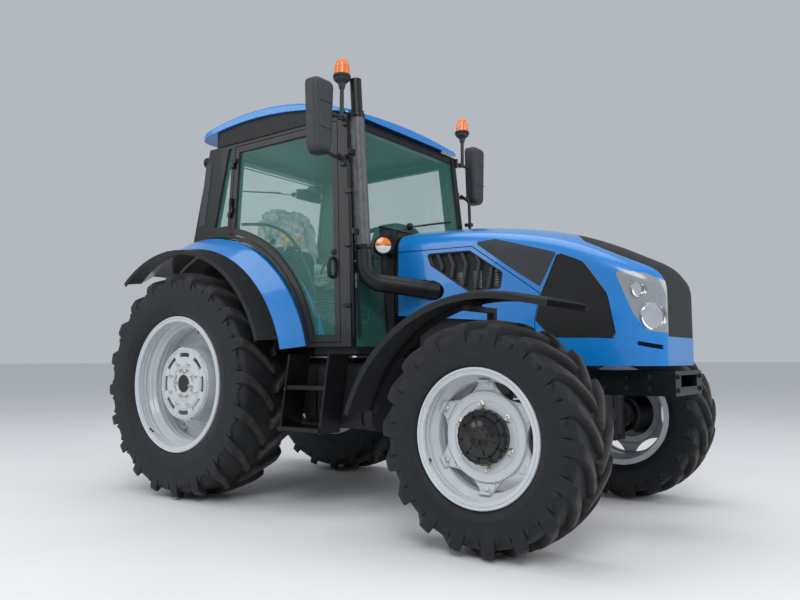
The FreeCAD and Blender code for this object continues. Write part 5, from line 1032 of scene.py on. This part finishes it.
# The rubber edge between hood and cowl: upright sides, rounded shoulders and a flat crown
EDGE_X = 1.3985
EDGE_HALF = 0.350
EDGE_TOP = 1.768
EDGE_FOOT = 1.21
SHOULDER = 0.55
shoulder_low = EDGE_TOP - 0.43 * EDGE_HALF
shoulder_high = EDGE_TOP - 0.13 * EDGE_HALF
shoulder_wide = 0.31 * EDGE_HALF
edge = [ahead(EDGE_X, EDGE_HALF, EDGE_FOOT)]
for number in range(33):
    across = math.cos(math.pi * number / 32)
    if abs(across) > SHOULDER:
        rise = min(1.0, (1 - abs(across)) / (1 - SHOULDER)) * math.pi / 2
        y = EDGE_HALF - shoulder_wide * (1 - math.cos(rise))
        z = shoulder_low + (shoulder_high - shoulder_low) * math.sin(rise)
    else:
        share = abs(across) / SHOULDER
        y = (EDGE_HALF - shoulder_wide) * share
        z = shoulder_high + (EDGE_TOP - shoulder_high) * (1 - share ** 2)
    edge.append(ahead(EDGE_X, math.copysign(y, across), z))
edge.append(ahead(EDGE_X, -EDGE_HALF, EDGE_FOOT))
Build().swept(edge, 0.0042, 8).piece("hood_edge", "seal")

# Front fenders: one thin curved sheet on each side, over the CAD strut

FENDER_RADIUS = 0.898
FENDER_DROP = 0.208
FENDER_WALL = 0.006
FENDER_LIP = 0.036
NEAR = 0.800
FAR = 1.050
FENDER_FRONT = math.radians(9.6)
FENDER_REAR = math.radians(-71.5)
TAIL_LENGTH = 0.330
TAIL_LEAN = math.radians(11.2)
# The front end is cut slanting: where the cut begins to tell, its end at the inner side, and its slant
TAIL_START = 0.150
TAIL_END = 0.445
TAIL_SLANT = 0.095
fender_hub = ahead(2.400, 0, 0.555)


def fender_line(radius):
    """The sheet's side line from the front tail to the rear end: (ahead of the hub, above it)."""
    line = []
    for number in range(7):
        run = TAIL_LENGTH * (1 - number / 6)
        line.append((radius * math.sin(FENDER_FRONT) + math.cos(TAIL_LEAN) * run,
                     radius * math.cos(FENDER_FRONT) - math.sin(TAIL_LEAN) * run - FENDER_DROP))
    for number in range(1, 45):
        angle = FENDER_FRONT + (FENDER_REAR - FENDER_FRONT) * number / 44
        line.append((radius * math.sin(angle), radius * math.cos(angle) - FENDER_DROP))
    return line


for side_name, out in SIDES:
    name = "front_fender_" + side_name
    lines = [fender_line(FENDER_RADIUS - deep) for deep in (0, FENDER_WALL, FENDER_LIP)]
    over_end = lines[0][0][0]
    rows = []
    for over, under, lip in zip(*lines):
        edge = ((over[0] * 3 + lip[0]) / 4, (over[1] * 3 + lip[1]) / 4)
        row = []
        for y, (x, z) in (
                (FAR, lip), (FAR + 0.001, edge), (FAR - 0.006, over),
                (FAR - 0.05, (over[0], over[1] + 0.004)), ((NEAR + FAR) / 2, (over[0], over[1] + 0.006)),
                (NEAR + 0.02, over), (NEAR, edge), (NEAR, lip),
                (NEAR + 0.005, lip), (NEAR + 0.007, under), ((NEAR + FAR) / 2, under), (FAR - 0.008, under),
                (FAR - 0.005, lip)):
            limit = TAIL_END - TAIL_SLANT * (y - NEAR) / (FAR - NEAR)
            back = max(0.0, over[0] - TAIL_START) * (1 - (limit - TAIL_START) / (over_end - TAIL_START))
            row.append(fender_hub + Vector((x - back, y * out, z + back * math.tan(TAIL_LEAN))))
        rows.append(row)
    sheet = Build().strip(rows, closed=True, caps=True)
    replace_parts(sheet.piece("front_fender_sheet_" + side_name, "plastic", carrier(name)), name)
    mount = Build().box(fender_hub + Vector((-0.145, 0.83 * out, 0.6325)),
                        fender_hub + Vector((-0.105, 0.95 * out, 0.676)))
    for across in (0.86, 0.92):
        mount.turned(fender_hub + Vector((-0.125, across * out, 0.681)), UP,
                     [(0, 0.013), (0.006, 0.012), (0.011, 0.006), (0.012, 0)], 20)
    mount = mount.piece("front_fender_mount_" + side_name, "black_paint", carrier(name), bevel=0.002)
    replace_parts(mount, name)

# Cab: seals, rails, latch, wipers and tubes

LEAN = math.tan(math.radians(3.5))
WALL_FOOT = 0.725


def wall_y(height, deep=0.0):
    """How far out the cab's side stands at a height, less a depth."""
    return WALL_FOOT - (height - 1.0) * LEAN - deep


def rims(name, direction):
    """Outlines of a node's faces that look one way, as ordered loops of points."""
    mesh = nodes[name].data
    world = nodes[name].matrix_world
    turn = world.to_3x3()
    direction = Vector(direction).normalized()
    spots = {}
    uses = {}
    for polygon in mesh.polygons:
        if (turn @ polygon.normal).dot(direction) < 0.8:
            continue
        keys = []
        for number in polygon.vertices:
            point = world @ mesh.vertices[number].co
            keys.append(tuple(round(value, 4) for value in point))
            spots[keys[-1]] = point
        for first, second in zip(keys, keys[1:] + keys[:1]):
            edge = (first, second) if first < second else (second, first)
            uses[edge] = uses.get(edge, 0) + 1
    links = {}
    for (first, second), count in uses.items():
        if count == 1 and first != second:
            links.setdefault(first, []).append(second)
            links.setdefault(second, []).append(first)
    loops = []
    while links:
        loop = [sorted(links)[0]]
        while True:
            following = [key for key in links.get(loop[-1], []) if key not in loop]
            if not following:
                break
            loop.append(following[0])
        for key in loop:
            links.pop(key, None)
        if len(loop) > 2:
            loops.append([spots[key] for key in loop])
    return loops


def close_points(loop, gap=0.006):
    """The loop without points that lie too near each other."""
    kept = [loop[0]]
    for point in loop[1:]:
        if (point - kept[-1]).length > gap:
            kept.append(point)
    if (kept[-1] - kept[0]).length < gap:
        kept.pop()
    return kept


GLASS_EDGES = [("front_glass", (1, 0, 0.08)), ("rear_glass", (-1, 0, 0.17))]
for side_name, out in SIDES:
    for name in ("door_glass_" + side_name, "rear_glass", "front_glass"):
        GLASS_EDGES.append((name, (0, out, 0.06)))
for number, (name, direction) in enumerate(GLASS_EDGES):
    edging = Build()
    for loop in rims(name, direction):
        loop = close_points(loop)
        if max((point - loop[0]).length for point in loop) > 0.2 and len(loop) > 3:
            edging.swept(loop, 0.0055, 8, closed=True)
    if edging.points:
        edging.piece("glass_edge_%d" % number, "seal", carrier(name))

DOOR_RAIL = ((0.200, 1.885), (0.457, 1.851), (0.641, 1.775), (0.768, 1.656), (0.854, 1.535), (0.940, 1.356),
             (0.969, 1.120))
HANDLE = ((1.550, 0.002), (1.540, 0.028), (1.490, 0.038), (1.440, 0.028), (1.430, 0.002))
HANDLE_X = 1.155
HINGE_X = 0.1625
HINGE = [(0, 0), (0, 0.009), (0.004, 0.0125), (0.041, 0.0125), (0.0425, 0.0105), (0.045, 0.0125),
         (0.086, 0.0125), (0.090, 0.009), (0.090, 0)]
PILLAR_TUBES = (
    (((1.318, 0.690, 1.06), (1.312, 0.700, 1.50), (1.290, 0.712, 2.13), (1.215, 0.715, 2.19)),
     0.05, 0.0115, 12),
    (((1.338, 0.655, 1.06), (1.330, 0.664, 1.42), (1.318, 0.640, 1.50), (1.262, 0.640, 1.52)),
     0.04, 0.008, 10),
)
INSET = ((-0.190, 1.90), (-0.150, 2.37), (-0.085, 2.37), (-0.118, 1.90))
for side_name, out in SIDES:
    door = carrier("door_frame_" + side_name)

    def by_wall(x, z, deep, off=0.0):
        """A point at the cab's side wall; off shifts the height at which the wall is taken."""
        return ahead(x, wall_y(z + off, deep) * out, z)

    # rail inside the door, from the rear edge down the front
    Build().swept(smooth_through([by_wall(x, z, 0.075) for x, z in DOOR_RAIL], 7), 0.0105).piece(
        "door_rail_" + side_name, "plastic", door)
    latch = Build().box(by_wall(1.075, 1.445, 0.078, 0.055), by_wall(1.120, 1.560, 0.030, -0.06))
    latch.swept(smooth_through([by_wall(1.10, 1.50, 0.06, 0.06), by_wall(1.01, 1.53, 0.085),
                                by_wall(0.965, 1.470, 0.09, 0.03)], 6), 0.008, 10)
    latch.piece("door_latch_" + side_name, "plastic", door, bevel=0.004, segments=3)
    # outer handle with its lock
    grip = smooth_through([by_wall(HANDLE_X, z, -lift) for z, lift in HANDLE], 6)
    handle = Build().swept(grip, 0.014, flat=0.7)
    handle.turned(by_wall(HANDLE_X, 1.590, 0.006), (0, out, 0), [(0, 0.021), (0.010, 0.021), (0.016, 0.016),
                                                                 (0.016, 0)], 28)
    handle.piece("door_handle_" + side_name, "plastic", door)
    # hinges at the rear edge
    hinge = Build()
    for height in (1.20, 2.02):
        hinge.turned(by_wall(HINGE_X, height - 0.045, -0.012, 0.045), UP, HINGE, 20)
    hinge.piece("door_hinges_" + side_name, "black_paint")
    # tubes that run up the front pillar and carry the mirror
    tubes = Build()
    for places, bend, radius, sides in PILLAR_TUBES:
        tubes.swept(rounded_path([ahead(x, y * out, z) for x, y, z in places], bend), radius, sides)
    for height in (1.25, 1.62, 1.95):
        tubes.block(ahead(1.290, 0.706 * out, height), (0.028, 0.018, 0.012))
    tubes.piece("pillar_tubes_" + side_name, "black_paint", bevel=0.0015)
    # grey inset in the wide rear pillar
    inset = Build().prism(rounded_outline(INSET, 0.016), lambda pair, depth: by_wall(*pair, -depth),
                          -0.004, 0.0035)
    inset.piece("pillar_inset_" + side_name, "grey_plastic", bevel=0.0015)

# Windscreen wiper, and the rear one with its motor inside


def on_screen(across, height, lift):
    share = (height - 1.0) / 1.47
    return Vector((0.340 - 0.120 * share + lift, across, height))


def on_rear_window(across, height, lift):
    share = (height - 1.842) / 0.628
    return Vector((-1.176 + 0.110 * share - lift, across, height))


def add_wiper(name, on_glass, axis, boss, steps, bars):
    """A wiper: its boss at the first bar's start, then bars through places on the glass."""
    wiper = Build().turned(on_glass(*boss[0]), axis, boss[1], steps)
    for places, radius, sides, flat in bars:
        wiper.swept([on_glass(*place) for place in places], radius, sides, flat=flat)
    wiper.piece(name, "seal")


add_wiper("screen_wiper", on_screen, (1, 0, 0.08),
          ((-0.02, 1.835, 0.004), [(0, 0.024), (0.022, 0.022), (0.030, 0.015), (0.032, 0)]), 28, (
              (((-0.02, 1.835, 0.026), (0.14, 1.862, 0.032), (0.30, 1.905, 0.026)), 0.0065, 10, 0.6),
              (((0.05, 1.848, 0.016), (0.30, 1.905, 0.018), (0.52, 1.952, 0.015)), 0.0052, 8, 1.0),
              (((0.04, 1.842, 0.007), (0.30, 1.899, 0.007), (0.53, 1.948, 0.007)), 0.0036, 6, 1.0)))
add_wiper("rear_wiper", on_rear_window, (-1, 0, 0.17),
          ((0.25, 2.30, 0.004), [(0, 0.020), (0.020, 0.018), (0.026, 0)]), 24, (
              (((0.25, 2.30, 0.022), (0.0, 2.275, 0.030), (-0.16, 2.25, 0.024)), 0.006, 10, 0.6),
              (((0.10, 2.29, 0.010), (-0.16, 2.25, 0.012), (-0.33, 2.225, 0.010)), 0.005, 8, 1.0)))
motor = Build().box(on_rear_window(0.24, 2.26, -0.075), on_rear_window(0.50, 2.34, -0.018))
motor.turned(on_rear_window(0.25, 2.30, -0.085), (1, 0, 0),
             [(0, 0), (0, 0.030), (0.055, 0.030), (0.060, 0.024), (0.06, 0)], 24)
motor.piece("rear_wiper_motor", "plastic", bevel=0.006, segments=3)

# Mirror glass and the ribs on the mirrors' fronts
MIRROR_Y = 0.905
MIRROR_PANES = ((2.290, 2.575, 0.070), (2.180, 2.272, 0.058))
mirror_tree = tree_of("mirrors")
for side_name, out in SIDES:
    rear = seat_on(mirror_tree, (-0.6, MIRROR_Y * out, 2.40), (1, 0, 0))[0]
    panes = Build()
    for low, high, width in MIRROR_PANES:
        outline = rounded_outline(((-width, low), (-width, high), (width, high), (width, low)), 0.022)
        panes.prism(outline, lambda pair, depth: Vector((rear.x - depth, MIRROR_Y * out + pair[0], pair[1])),
                    -0.002, 0.0025)
    panes.piece("mirror_glass_" + side_name, "mirror", bevel=0.001)
    front = seat_on(mirror_tree, (1.5, MIRROR_Y * out, 2.40), (-1, 0, 0))[0]
    ribs = Build()
    for height in (2.30, 2.46):
        ribs.swept([(front.x + 0.001, MIRROR_Y * out + y, height) for y in (-0.055, 0, 0.055)], 0.003, 8)
    ribs.piece("mirror_ribs_" + side_name, "grey_plastic")

# Inside the cab


def pillow(name, centre, half, look, turn=None, square=5.0, crown=0.0, channels=(), cells=26, wrinkle=0.0):
    """A crowned cushion: a rounded block whose upper face swells between sewn channels."""
    centre = Vector(centre)
    half = Vector(half)
    turn = turn or Matrix.Identity(3)
    ball = bmesh.new()
    bmesh.ops.create_cube(ball, size=2)
    bmesh.ops.subdivide_edges(ball, edges=ball.edges, cuts=cells, use_grid_fill=True)
    for vertex in ball.verts:
        spot = vertex.co / sum(abs(value) ** square for value in vertex.co) ** (1 / square)
        swell = max(0.0, 1 - spot.x ** 4) * max(0.0, 1 - spot.y ** 4)
        lift = crown * swell * (1 if spot.z > 0 else 0.25) * abs(spot.z)
        dip = 0.0
        for axis, place, deep in channels:
            dip += deep * math.exp(-((spot[axis] - place) / CHANNEL_WIDTH) ** 2) * max(0.0, spot.z)
        fold = 0.0
        if wrinkle:
            fold = wrinkle * (1.2 - 3 * abs(noise.noise(spot * 2.3)) - 1.6 * abs(noise.noise(spot * 5.1)))
        place = spot * half + spot.normalized() * fold
        place.z += math.copysign(lift, spot.z) - dip
        vertex.co = centre + turn @ place
    mesh = bpy.data.meshes.new(name)
    ball.to_mesh(mesh)
    ball.free()
    mesh.shade_smooth()
    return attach(add_object(name, mesh, look), "root")


# Seat: base, cushions with sewn channels, arm rests and the loose cover
CHANNEL_WIDTH = 0.035
BACK_TURN = Matrix.Rotation(math.radians(-99), 3, "Y")
ARM_Y = 0.272
cushion = pillow("seat_cushion", (-0.640, 0, 1.493), (0.250, 0.238, 0.055), "cloth", crown=0.018,
                 channels=((1, -0.62, 0.012), (1, 0.62, 0.012), (0, -0.25, 0.006), (0, 0.35, 0.006)))
back = pillow("seat_back", (-0.912, 0, 1.760), (0.300, 0.225, 0.045), "cloth", turn=BACK_TURN, crown=0.014,
              channels=((1, -0.60, 0.011), (1, 0.60, 0.011), (0, -0.35, 0.006), (0, 0.30, 0.006)))
for soft_piece in (cushion, back):
    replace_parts(soft_piece, "seat")
base = Build().box((-0.850, -0.200, 1.000), (-0.410, 0.200, 1.060))
for level in range(6):
    low = 1.06 + 0.045 * level
    tuck = 0.012 if level % 2 else 0.0
    base.box((-0.835 + tuck, -0.185 + tuck, low), (-0.425 - tuck, 0.185 - tuck, low + 0.045))
base.box((-0.860, -0.215, 1.335), (-0.395, 0.215, 1.425))
base.box((-0.985, -0.150, 1.400), (-0.930, 0.150, 1.520))
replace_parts(base.piece("seat_base", "plastic", bevel=0.006, segments=3), "seat")
piping = Build()
for side_name, out in SIDES:
    edge = [Vector((-0.640 + 0.243 * x, 0.232 * out, 1.500)) for x in (-0.82, -0.4, 0.0, 0.4, 0.82)]
    piping.swept(smooth_through(edge, 5), 0.0045, 8)
    arm = pillow("seat_arm_" + side_name, (-0.735, ARM_Y * out, 1.720), (0.212, 0.036, 0.028), "cloth",
                 crown=0.006, cells=14)
    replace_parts(arm, "seat")
    post = Build().swept(rounded_path([(-0.930, ARM_Y * out, 1.700), (-0.940, 0.262 * out, 1.560),
                                       (-0.930, 0.205 * out, 1.470)], 0.03), 0.014)
    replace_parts(post.piece("seat_arm_post_" + side_name, "plastic"), "seat")
piping.piece("seat_piping", "piping")
pillow("seat_cover_back", (-0.905, 0, 1.830), (0.255, 0.262, 0.082), "film", turn=BACK_TURN, square=3.5,
       wrinkle=0.022, cells=44)
pillow("seat_cover_front", (-0.630, 0, 1.520), (0.285, 0.262, 0.090), "film", square=3.5, wrinkle=0.022,
       cells=44)

# Console and levers beside the seat
pillow("console", (-0.600, -0.425, 1.470), (0.320, 0.082, 0.200), "plastic", square=7, crown=0.012)
pillow("side_shelf", (-0.620, 0.425, 1.400), (0.300, 0.075, 0.120), "plastic", square=7, crown=0.008)
KNOBS = (("orange_knob", -0.430, -0.395, 0.090), ("yellow_knob", -0.490, -0.455, 0.075),
         ("orange_knob", -0.560, -0.395, 0.100), ("plastic", -0.640, -0.450, 0.085),
         ("plastic", -0.720, -0.400, 0.070))
KNOB = [(-0.004, 0), (-0.004, 0.009), (0.010, 0.017), (0.024, 0.018), (0.036, 0.012), (0.040, 0)]
levers = Build()
for number, (look, x, y, high) in enumerate(KNOBS):
    foot = Vector((x, y, 1.665))
    tip = foot + Vector((0.018, 0.006, high))
    levers.swept([foot, tip], 0.0055, 10)
    levers.turned(foot, UP, [(0, 0.022), (0.012, 0.017), (0.022, 0.009), (0.022, 0)], 20)
    Build().turned(tip, (0.2, 0.05, 1), KNOB, 24).piece("lever_knob_%d" % number, look)
levers.piece("levers", "steel")

# Dash: instrument hood, screen, column shroud, stalks, pedals
pillow("instrument_hood", (0.165, 0, 1.700), (0.120, 0.172, 0.150), "plastic", square=4, crown=0.012)
pillow("instrument_panel", (0.062, 0, 1.752), (0.060, 0.125, 0.012), "screen",
       turn=Matrix.Rotation(math.radians(-58), 3, "Y"), square=8, cells=12)
COLUMN_LEAN = math.radians(35)
wheel_centre = Vector((-0.090, 0, 1.730))
column_axis = Vector((-math.sin(COLUMN_LEAN), 0, math.cos(COLUMN_LEAN)))
column = Build().turned(wheel_centre - column_axis * 0.30, column_axis, [
    (0, 0), (0, 0.060), (0.10, 0.058), (0.20, 0.046), (0.236, 0.042), (0.236, 0)], 36)
column.piece("column_shroud", "plastic")
stalks = Build()
for side_name, out in SIDES:
    start = wheel_centre - column_axis * 0.10
    stalks.swept([start + Vector((x, y * out, z)) for x, y, z in (
        (0, 0.035, 0), (0.02, 0.09, 0.018), (0.022, 0.145, 0.022))], [0.006, 0.006, 0.009], 10)
stalks.piece("column_stalks", "plastic")
cap = Build().turned(wheel_centre - column_axis * 0.004, column_axis, [
    (0.000, 0.050), (0.012, 0.052), (0.024, 0.044), (0.030, 0.020), (0.030, 0)], 40)
cap.piece("wheel_cap", "grey_plastic", carrier("steering_wheel"))
pedals = Build()
for y in (-0.150, -0.075, 0.120):
    pedals.swept([(0.110, y, 1.330), (0.040, y, 1.250), (-0.010, y, 1.135)], 0.009, 10)
    pedals.box((-0.040, y - 0.030, 1.100), (-0.022, y + 0.030, 1.185),
               Matrix.Rotation(math.radians(25), 3, "Y"), Vector((-0.03, y, 1.14)))
pedals.piece("pedals", "black_paint", bevel=0.003)

# Floor mat with ribs
mat = Build().prism(rounded_outline(((-0.36, -0.52), (-0.36, 0.52), (0.04, 0.60), (0.04, -0.60)), 0.04),
                    lambda pair, depth: Vector((*pair, 1.0 + depth)), 0.001, 0.010)
for number in range(24):
    y = -0.46 + 0.04 * number
    mat.swept([(-0.33, y, 1.010), (0.01, y, 1.010)], 0.004, 6)
mat.piece("floor_mat", "mat")

# Exhaust: rain edge, clamps, shield louvres and the bracket on the pillar
stack_low = ahead(1.353, -0.620, 1.400)
stack_top = ahead(1.269, -0.620, 2.680)
elbow_end = ahead(1.690, -0.320, 1.338)
rise = (stack_top - stack_low).normalized()


def up_stack(height):
    """The middle of the stack at a height."""
    return stack_low + rise * ((height - stack_low.z) / rise.z)


CLAMP = [(-0.011, 0.0445), (-0.010, 0.0485), (0.010, 0.0485), (0.011, 0.0445)]
RAIN_EDGE = [(0.0, 0.0365), (0.013, 0.0375), (0.015, 0.0365), (0.013, 0.031), (-0.10, 0.031)]
clamps = Build().turned(up_stack(2.668), rise, RAIN_EDGE)
for height in (1.612, 2.440):
    clamps.turned(up_stack(height), rise, CLAMP)
    clamps.hex_bolt(up_stack(height) + Vector((0.030, -0.045, 0)), (0.4, -1, 0), 0.013, 0.009, washer=False)
clamps.turned(stack_low.lerp(elbow_end, 0.80), elbow_end - stack_low, [(-0.012, 0.0560), (-0.010, 0.0610),
                                                                      (0.010, 0.0610), (0.012, 0.0560)])
clamps.piece("stack_clamps", "black_paint", bevel=0.001)
louvres = Build()
for number in range(9):
    for turn in (-0.95, -0.35, 0.25, 0.85):
        start = up_stack(1.72 + 0.075 * number) + Vector((math.sin(turn), -math.cos(turn), 0)) * 0.0440
        louvres.swept([start, start + rise * 0.022, start + rise * 0.044], [0.002, 0.0034, 0.002], 8)
louvres.piece("stack_louvres", "exhaust")
bracket = Build()
for height in (1.70, 2.20):
    x = up_stack(height).x
    bracket.box((x - 0.016, -0.712, height - 0.018), (x + 0.004, -0.655, height + 0.018))
bracket.piece("stack_brackets", "black_paint", bevel=0.002)

# Indicators: ring, clear lower half and amber upper half; beacons: band and ribs
INDICATOR_DOME = [(0.0, 0.0505), (0.006, 0.048), (0.010, 0.036), (0.0115, 0.0)]
BEACON_RIB = ((0.0487, 0.017), (0.0462, 0.060), (0.0445, 0.080), (0.035, 0.104))
for side_name, out in SIDES:
    facing = Vector((math.sqrt(0.5), out * math.sqrt(0.5), 0))
    centre = ahead(1.385, 0.490 * out, 1.629)
    Build().turned(centre, facing, [(-0.030, 0.0585), (0.006, 0.0605), (0.012, 0.058), (0.010, 0.0515),
                                    (0.000, 0.0505)]).piece("indicator_ring_" + side_name, "plastic")
    for name, look, start in (("indicator_clear_", "lamp", 188), ("indicator_amber_", "amber", 8)):
        Build().turned(centre + facing * 0.0238, facing, INDICATOR_DOME, 40, math.radians(start),
                       math.radians(164)).piece(name + side_name, look)
    base = Vector((0.264, 0.710 * out, 2.677))
    Build().turned(base, UP, [(-0.004, 0.052), (-0.004, 0.0555), (0.012, 0.0555), (0.016, 0.0525),
                              (0.016, 0.050)]).piece("beacon_band_" + side_name, "plastic")
    ribs = Build()
    for number in range(20):
        angle = 2 * math.pi * number / 20
        ray = Vector((math.cos(angle), math.sin(angle), 0))
        line = [base + ray * away + UP * high for away, high in BEACON_RIB]
        ribs.swept(line, [0.0016, 0.0016, 0.0016, 0.001], 6)
    ribs.piece("beacon_ribs_" + side_name, "amber")

# Work lamps: ring and prisms
for side_name, out in SIDES:
    x, y, z = -1.200, 0.560 * out, 2.405
    Build().turned((x, y, z), (-1, 0, 0), [(-0.010, 0.040), (0.004, 0.044), (0.010, 0.042), (0.009, 0.036),
                                           (0.002, 0.035)], 36).piece("work_lamp_ring_" + side_name, "plastic")
    prisms = Build()
    for number in range(5):
        rise_by = 0.011 * number - 0.022
        half = math.sqrt(0.030 ** 2 - rise_by ** 2)
        prisms.swept([(x - 0.0025, y - half, z + rise_by), (x - 0.0025, y + half, z + rise_by)], 0.0022, 6)
    prisms.piece("work_lamp_prisms_" + side_name, "lamp")

# Steps: grip teeth and side bolts
STEP_ENDS = (-0.085, 0.185)
tread = Build()
bolts = Build()
steps = tree_of("steps")
for side_name, out in SIDES:
    for height in (0.49, 0.74):
        for number in range(11):
            x = STEP_ENDS[0] + (STEP_ENDS[1] - STEP_ENDS[0]) * number / 10
            tread.box((x - 0.004, 0.690 * out, height + 0.0005), (x + 0.004, 0.840 * out, height + 0.0055))
    for height in (0.56, 0.66, 0.80, 0.88):
        for x in STEP_ENDS:
            spot = seat_on(steps, (x, 1.2 * out, height), (0, -out, 0))[0]
            if spot and abs(spot.y) > 0.66:
                bolts.hex_bolt(spot, (0, out, 0), 0.015, 0.009)
tread.piece("step_treads", "zinc", bevel=0.001)

# Bolt heads on the castings, seated on the solids: along X and up for the sides, then the front face
BOLTED = (
    ("engine", (0.62, 0.86, 1.10, 1.34), (0.72, 1.02), 0.019),
    ("transmission", (-0.86, -0.60, -0.36, -0.10, 0.16), (0.56, 0.92), 0.019),
    ("front_support", (1.60, 1.72, 1.84, 1.96), (0.765, 0.825), 0.021),
)
rays = []
for name, places, heights, across in BOLTED:
    tree = tree_of(name)
    for x in places:
        for z in heights:
            rays += [(tree, (x, 1.0 * out, z), Vector((0, -out, 0)), across) for side_name, out in SIDES]
rays += [(tree, (3.0, y, z), Vector((-1, 0, 0)), across) for y in (-0.205, 0.205) for z in (0.760, 0.828)]
for tree, start, toward, across in rays:
    spot, normal = seat_on(tree, start, toward)
    if spot and normal.dot(toward) < -0.9:
        bolts.hex_bolt(spot, -toward, across, across * 0.6)
bolts.piece("frame_bolts", "black_paint")

# Rings on the front axle
AXLE_RING = [(0, 0.050), (0, 0.072), (0.008, 0.072), (0.008, 0.050)]
rings = Build()
for side_name, out in SIDES:
    for number in range(3):
        rings.turned((front_axle.x, (0.36 + 0.09 * number) * out - 0.004, 0.555), (0, 1, 0), AXLE_RING, 36)
rings.piece("axle_rings", "iron")

# Bolts on the kingpins, a cap on the left tank, straps on the tanks, pins on the lower links
tanks = tree_of("side_tanks")
links = tree_of("lower_links")
TANK_CAP = [(-0.01, 0.050), (0.020, 0.050), (0.032, 0.046), (0.036, 0.030), (0.036, 0)]
tank_parts = Build()
pins = Build()
for side_name, out in SIDES:
    caps = Build()
    knuckle = tree_of("knuckle_" + side_name)
    for number in range(8):
        turn = 2 * math.pi * number / 8
        x = front_axle.x + 0.045 * math.cos(turn)
        y = 0.700 * out + 0.045 * math.sin(turn)
        spot = seat_on(knuckle, (x, y, 0.9), -UP)[0]
        if spot and spot.z < 0.70:
            caps.hex_bolt(spot, UP, 0.013, 0.008)
    if caps.points:
        caps.piece("kingpin_bolts_" + side_name, "zinc", carrier("knuckle_" + side_name))
    spot = seat_on(tanks, (0.36, 0.47 * out, 1.4), -UP)[0]
    if spot and out > 0:
        tank_parts.turned(spot, UP, TANK_CAP, 40)
    for x in (0.03, 0.40):
        line = [seat_on(tanks, (x, 1.2 * out, 0.53 + 0.34 * number / 12), (0, -out, 0), 0.0015)[0]
                for number in range(13)]
        line = [spot for spot in line if spot]
        if len(line) > 3:
            tank_parts.swept(line, 0.010, 8, flat=0.25)
    spot = seat_on(links, (-1.60, 1.2 * out, 0.42), (0, -out, 0))[0]
    if spot:
        pins.turned(spot, (0, out, 0), [(0, 0.020), (0.006, 0.020), (0.008, 0.016), (0.008, 0)], 28)
tank_parts.piece("tank_straps", "black_paint")
if pins.points:
    pins.piece("link_pins", "zinc", carrier("lower_links"))

# Bolts on the back of the rear case
cover = Build()
case = tree_of("transmission")
for across, height in ((0.0, 0.86), (-0.11, 0.98), (0.11, 0.98), (-0.11, 0.62), (0.11, 0.62), (-0.13, 0.80),
                       (0.13, 0.80)):
    spot, normal = seat_on(case, (-2.6, across, height), (1, 0, 0))
    if spot and normal.x < -0.9:
        cover.hex_bolt(spot, (-1, 0, 0), 0.019, 0.011)
if cover.points:
    cover.piece("rear_case_bolts", "zinc")

# Stage

FLOOR_HALF = 300.0
SKY = (0.82, 0.88, 0.95, 1)
SKY_STRENGTH = 0.55
add_camera()
add_light("key", (5.5, -7.5, 7.5), (0, 0, 1.1), 460, 5.0)
add_light("fill", (-4.5, -7.0, 5.0), (0, -0.3, 1.2), 190, 6.0)
add_light("front", (8.5, 2.5, 4.0), (1.2, 0, 1.1), 190, 5.0)
add_light("top", (0, 0, 9.0), (0, 0, 1), 230, 7.0)
world = bpy.data.worlds.new("world")
world.use_nodes = True
backdrop = world.node_tree.nodes["Background"]
backdrop.inputs["Color"].default_value = SKY
backdrop.inputs["Strength"].default_value = SKY_STRENGTH
bpy.context.scene.world = world
bpy.context.scene.view_settings.view_transform = "Standard"
bpy.context.scene.view_settings.look = "None"

floor_mesh = bpy.data.meshes.new("floor")
corners = [(x * FLOOR_HALF, y * FLOOR_HALF, 0) for x, y in ((-1, -1), (1, -1), (1, 1), (-1, 1))]
floor_mesh.from_pydata(corners, [], [(0, 1, 2, 3)])
floor = bpy.data.objects.new("floor", floor_mesh)
bpy.context.scene.collection.objects.link(floor)
recipe = Recipe("floor")
recipe.feed(Base_Color=recipe.ramp(recipe.noise(1.4, 5), (0.3, 0.78), (0.8, 0.82)), Roughness=0.6)
floor.data.materials.append(recipe.material)
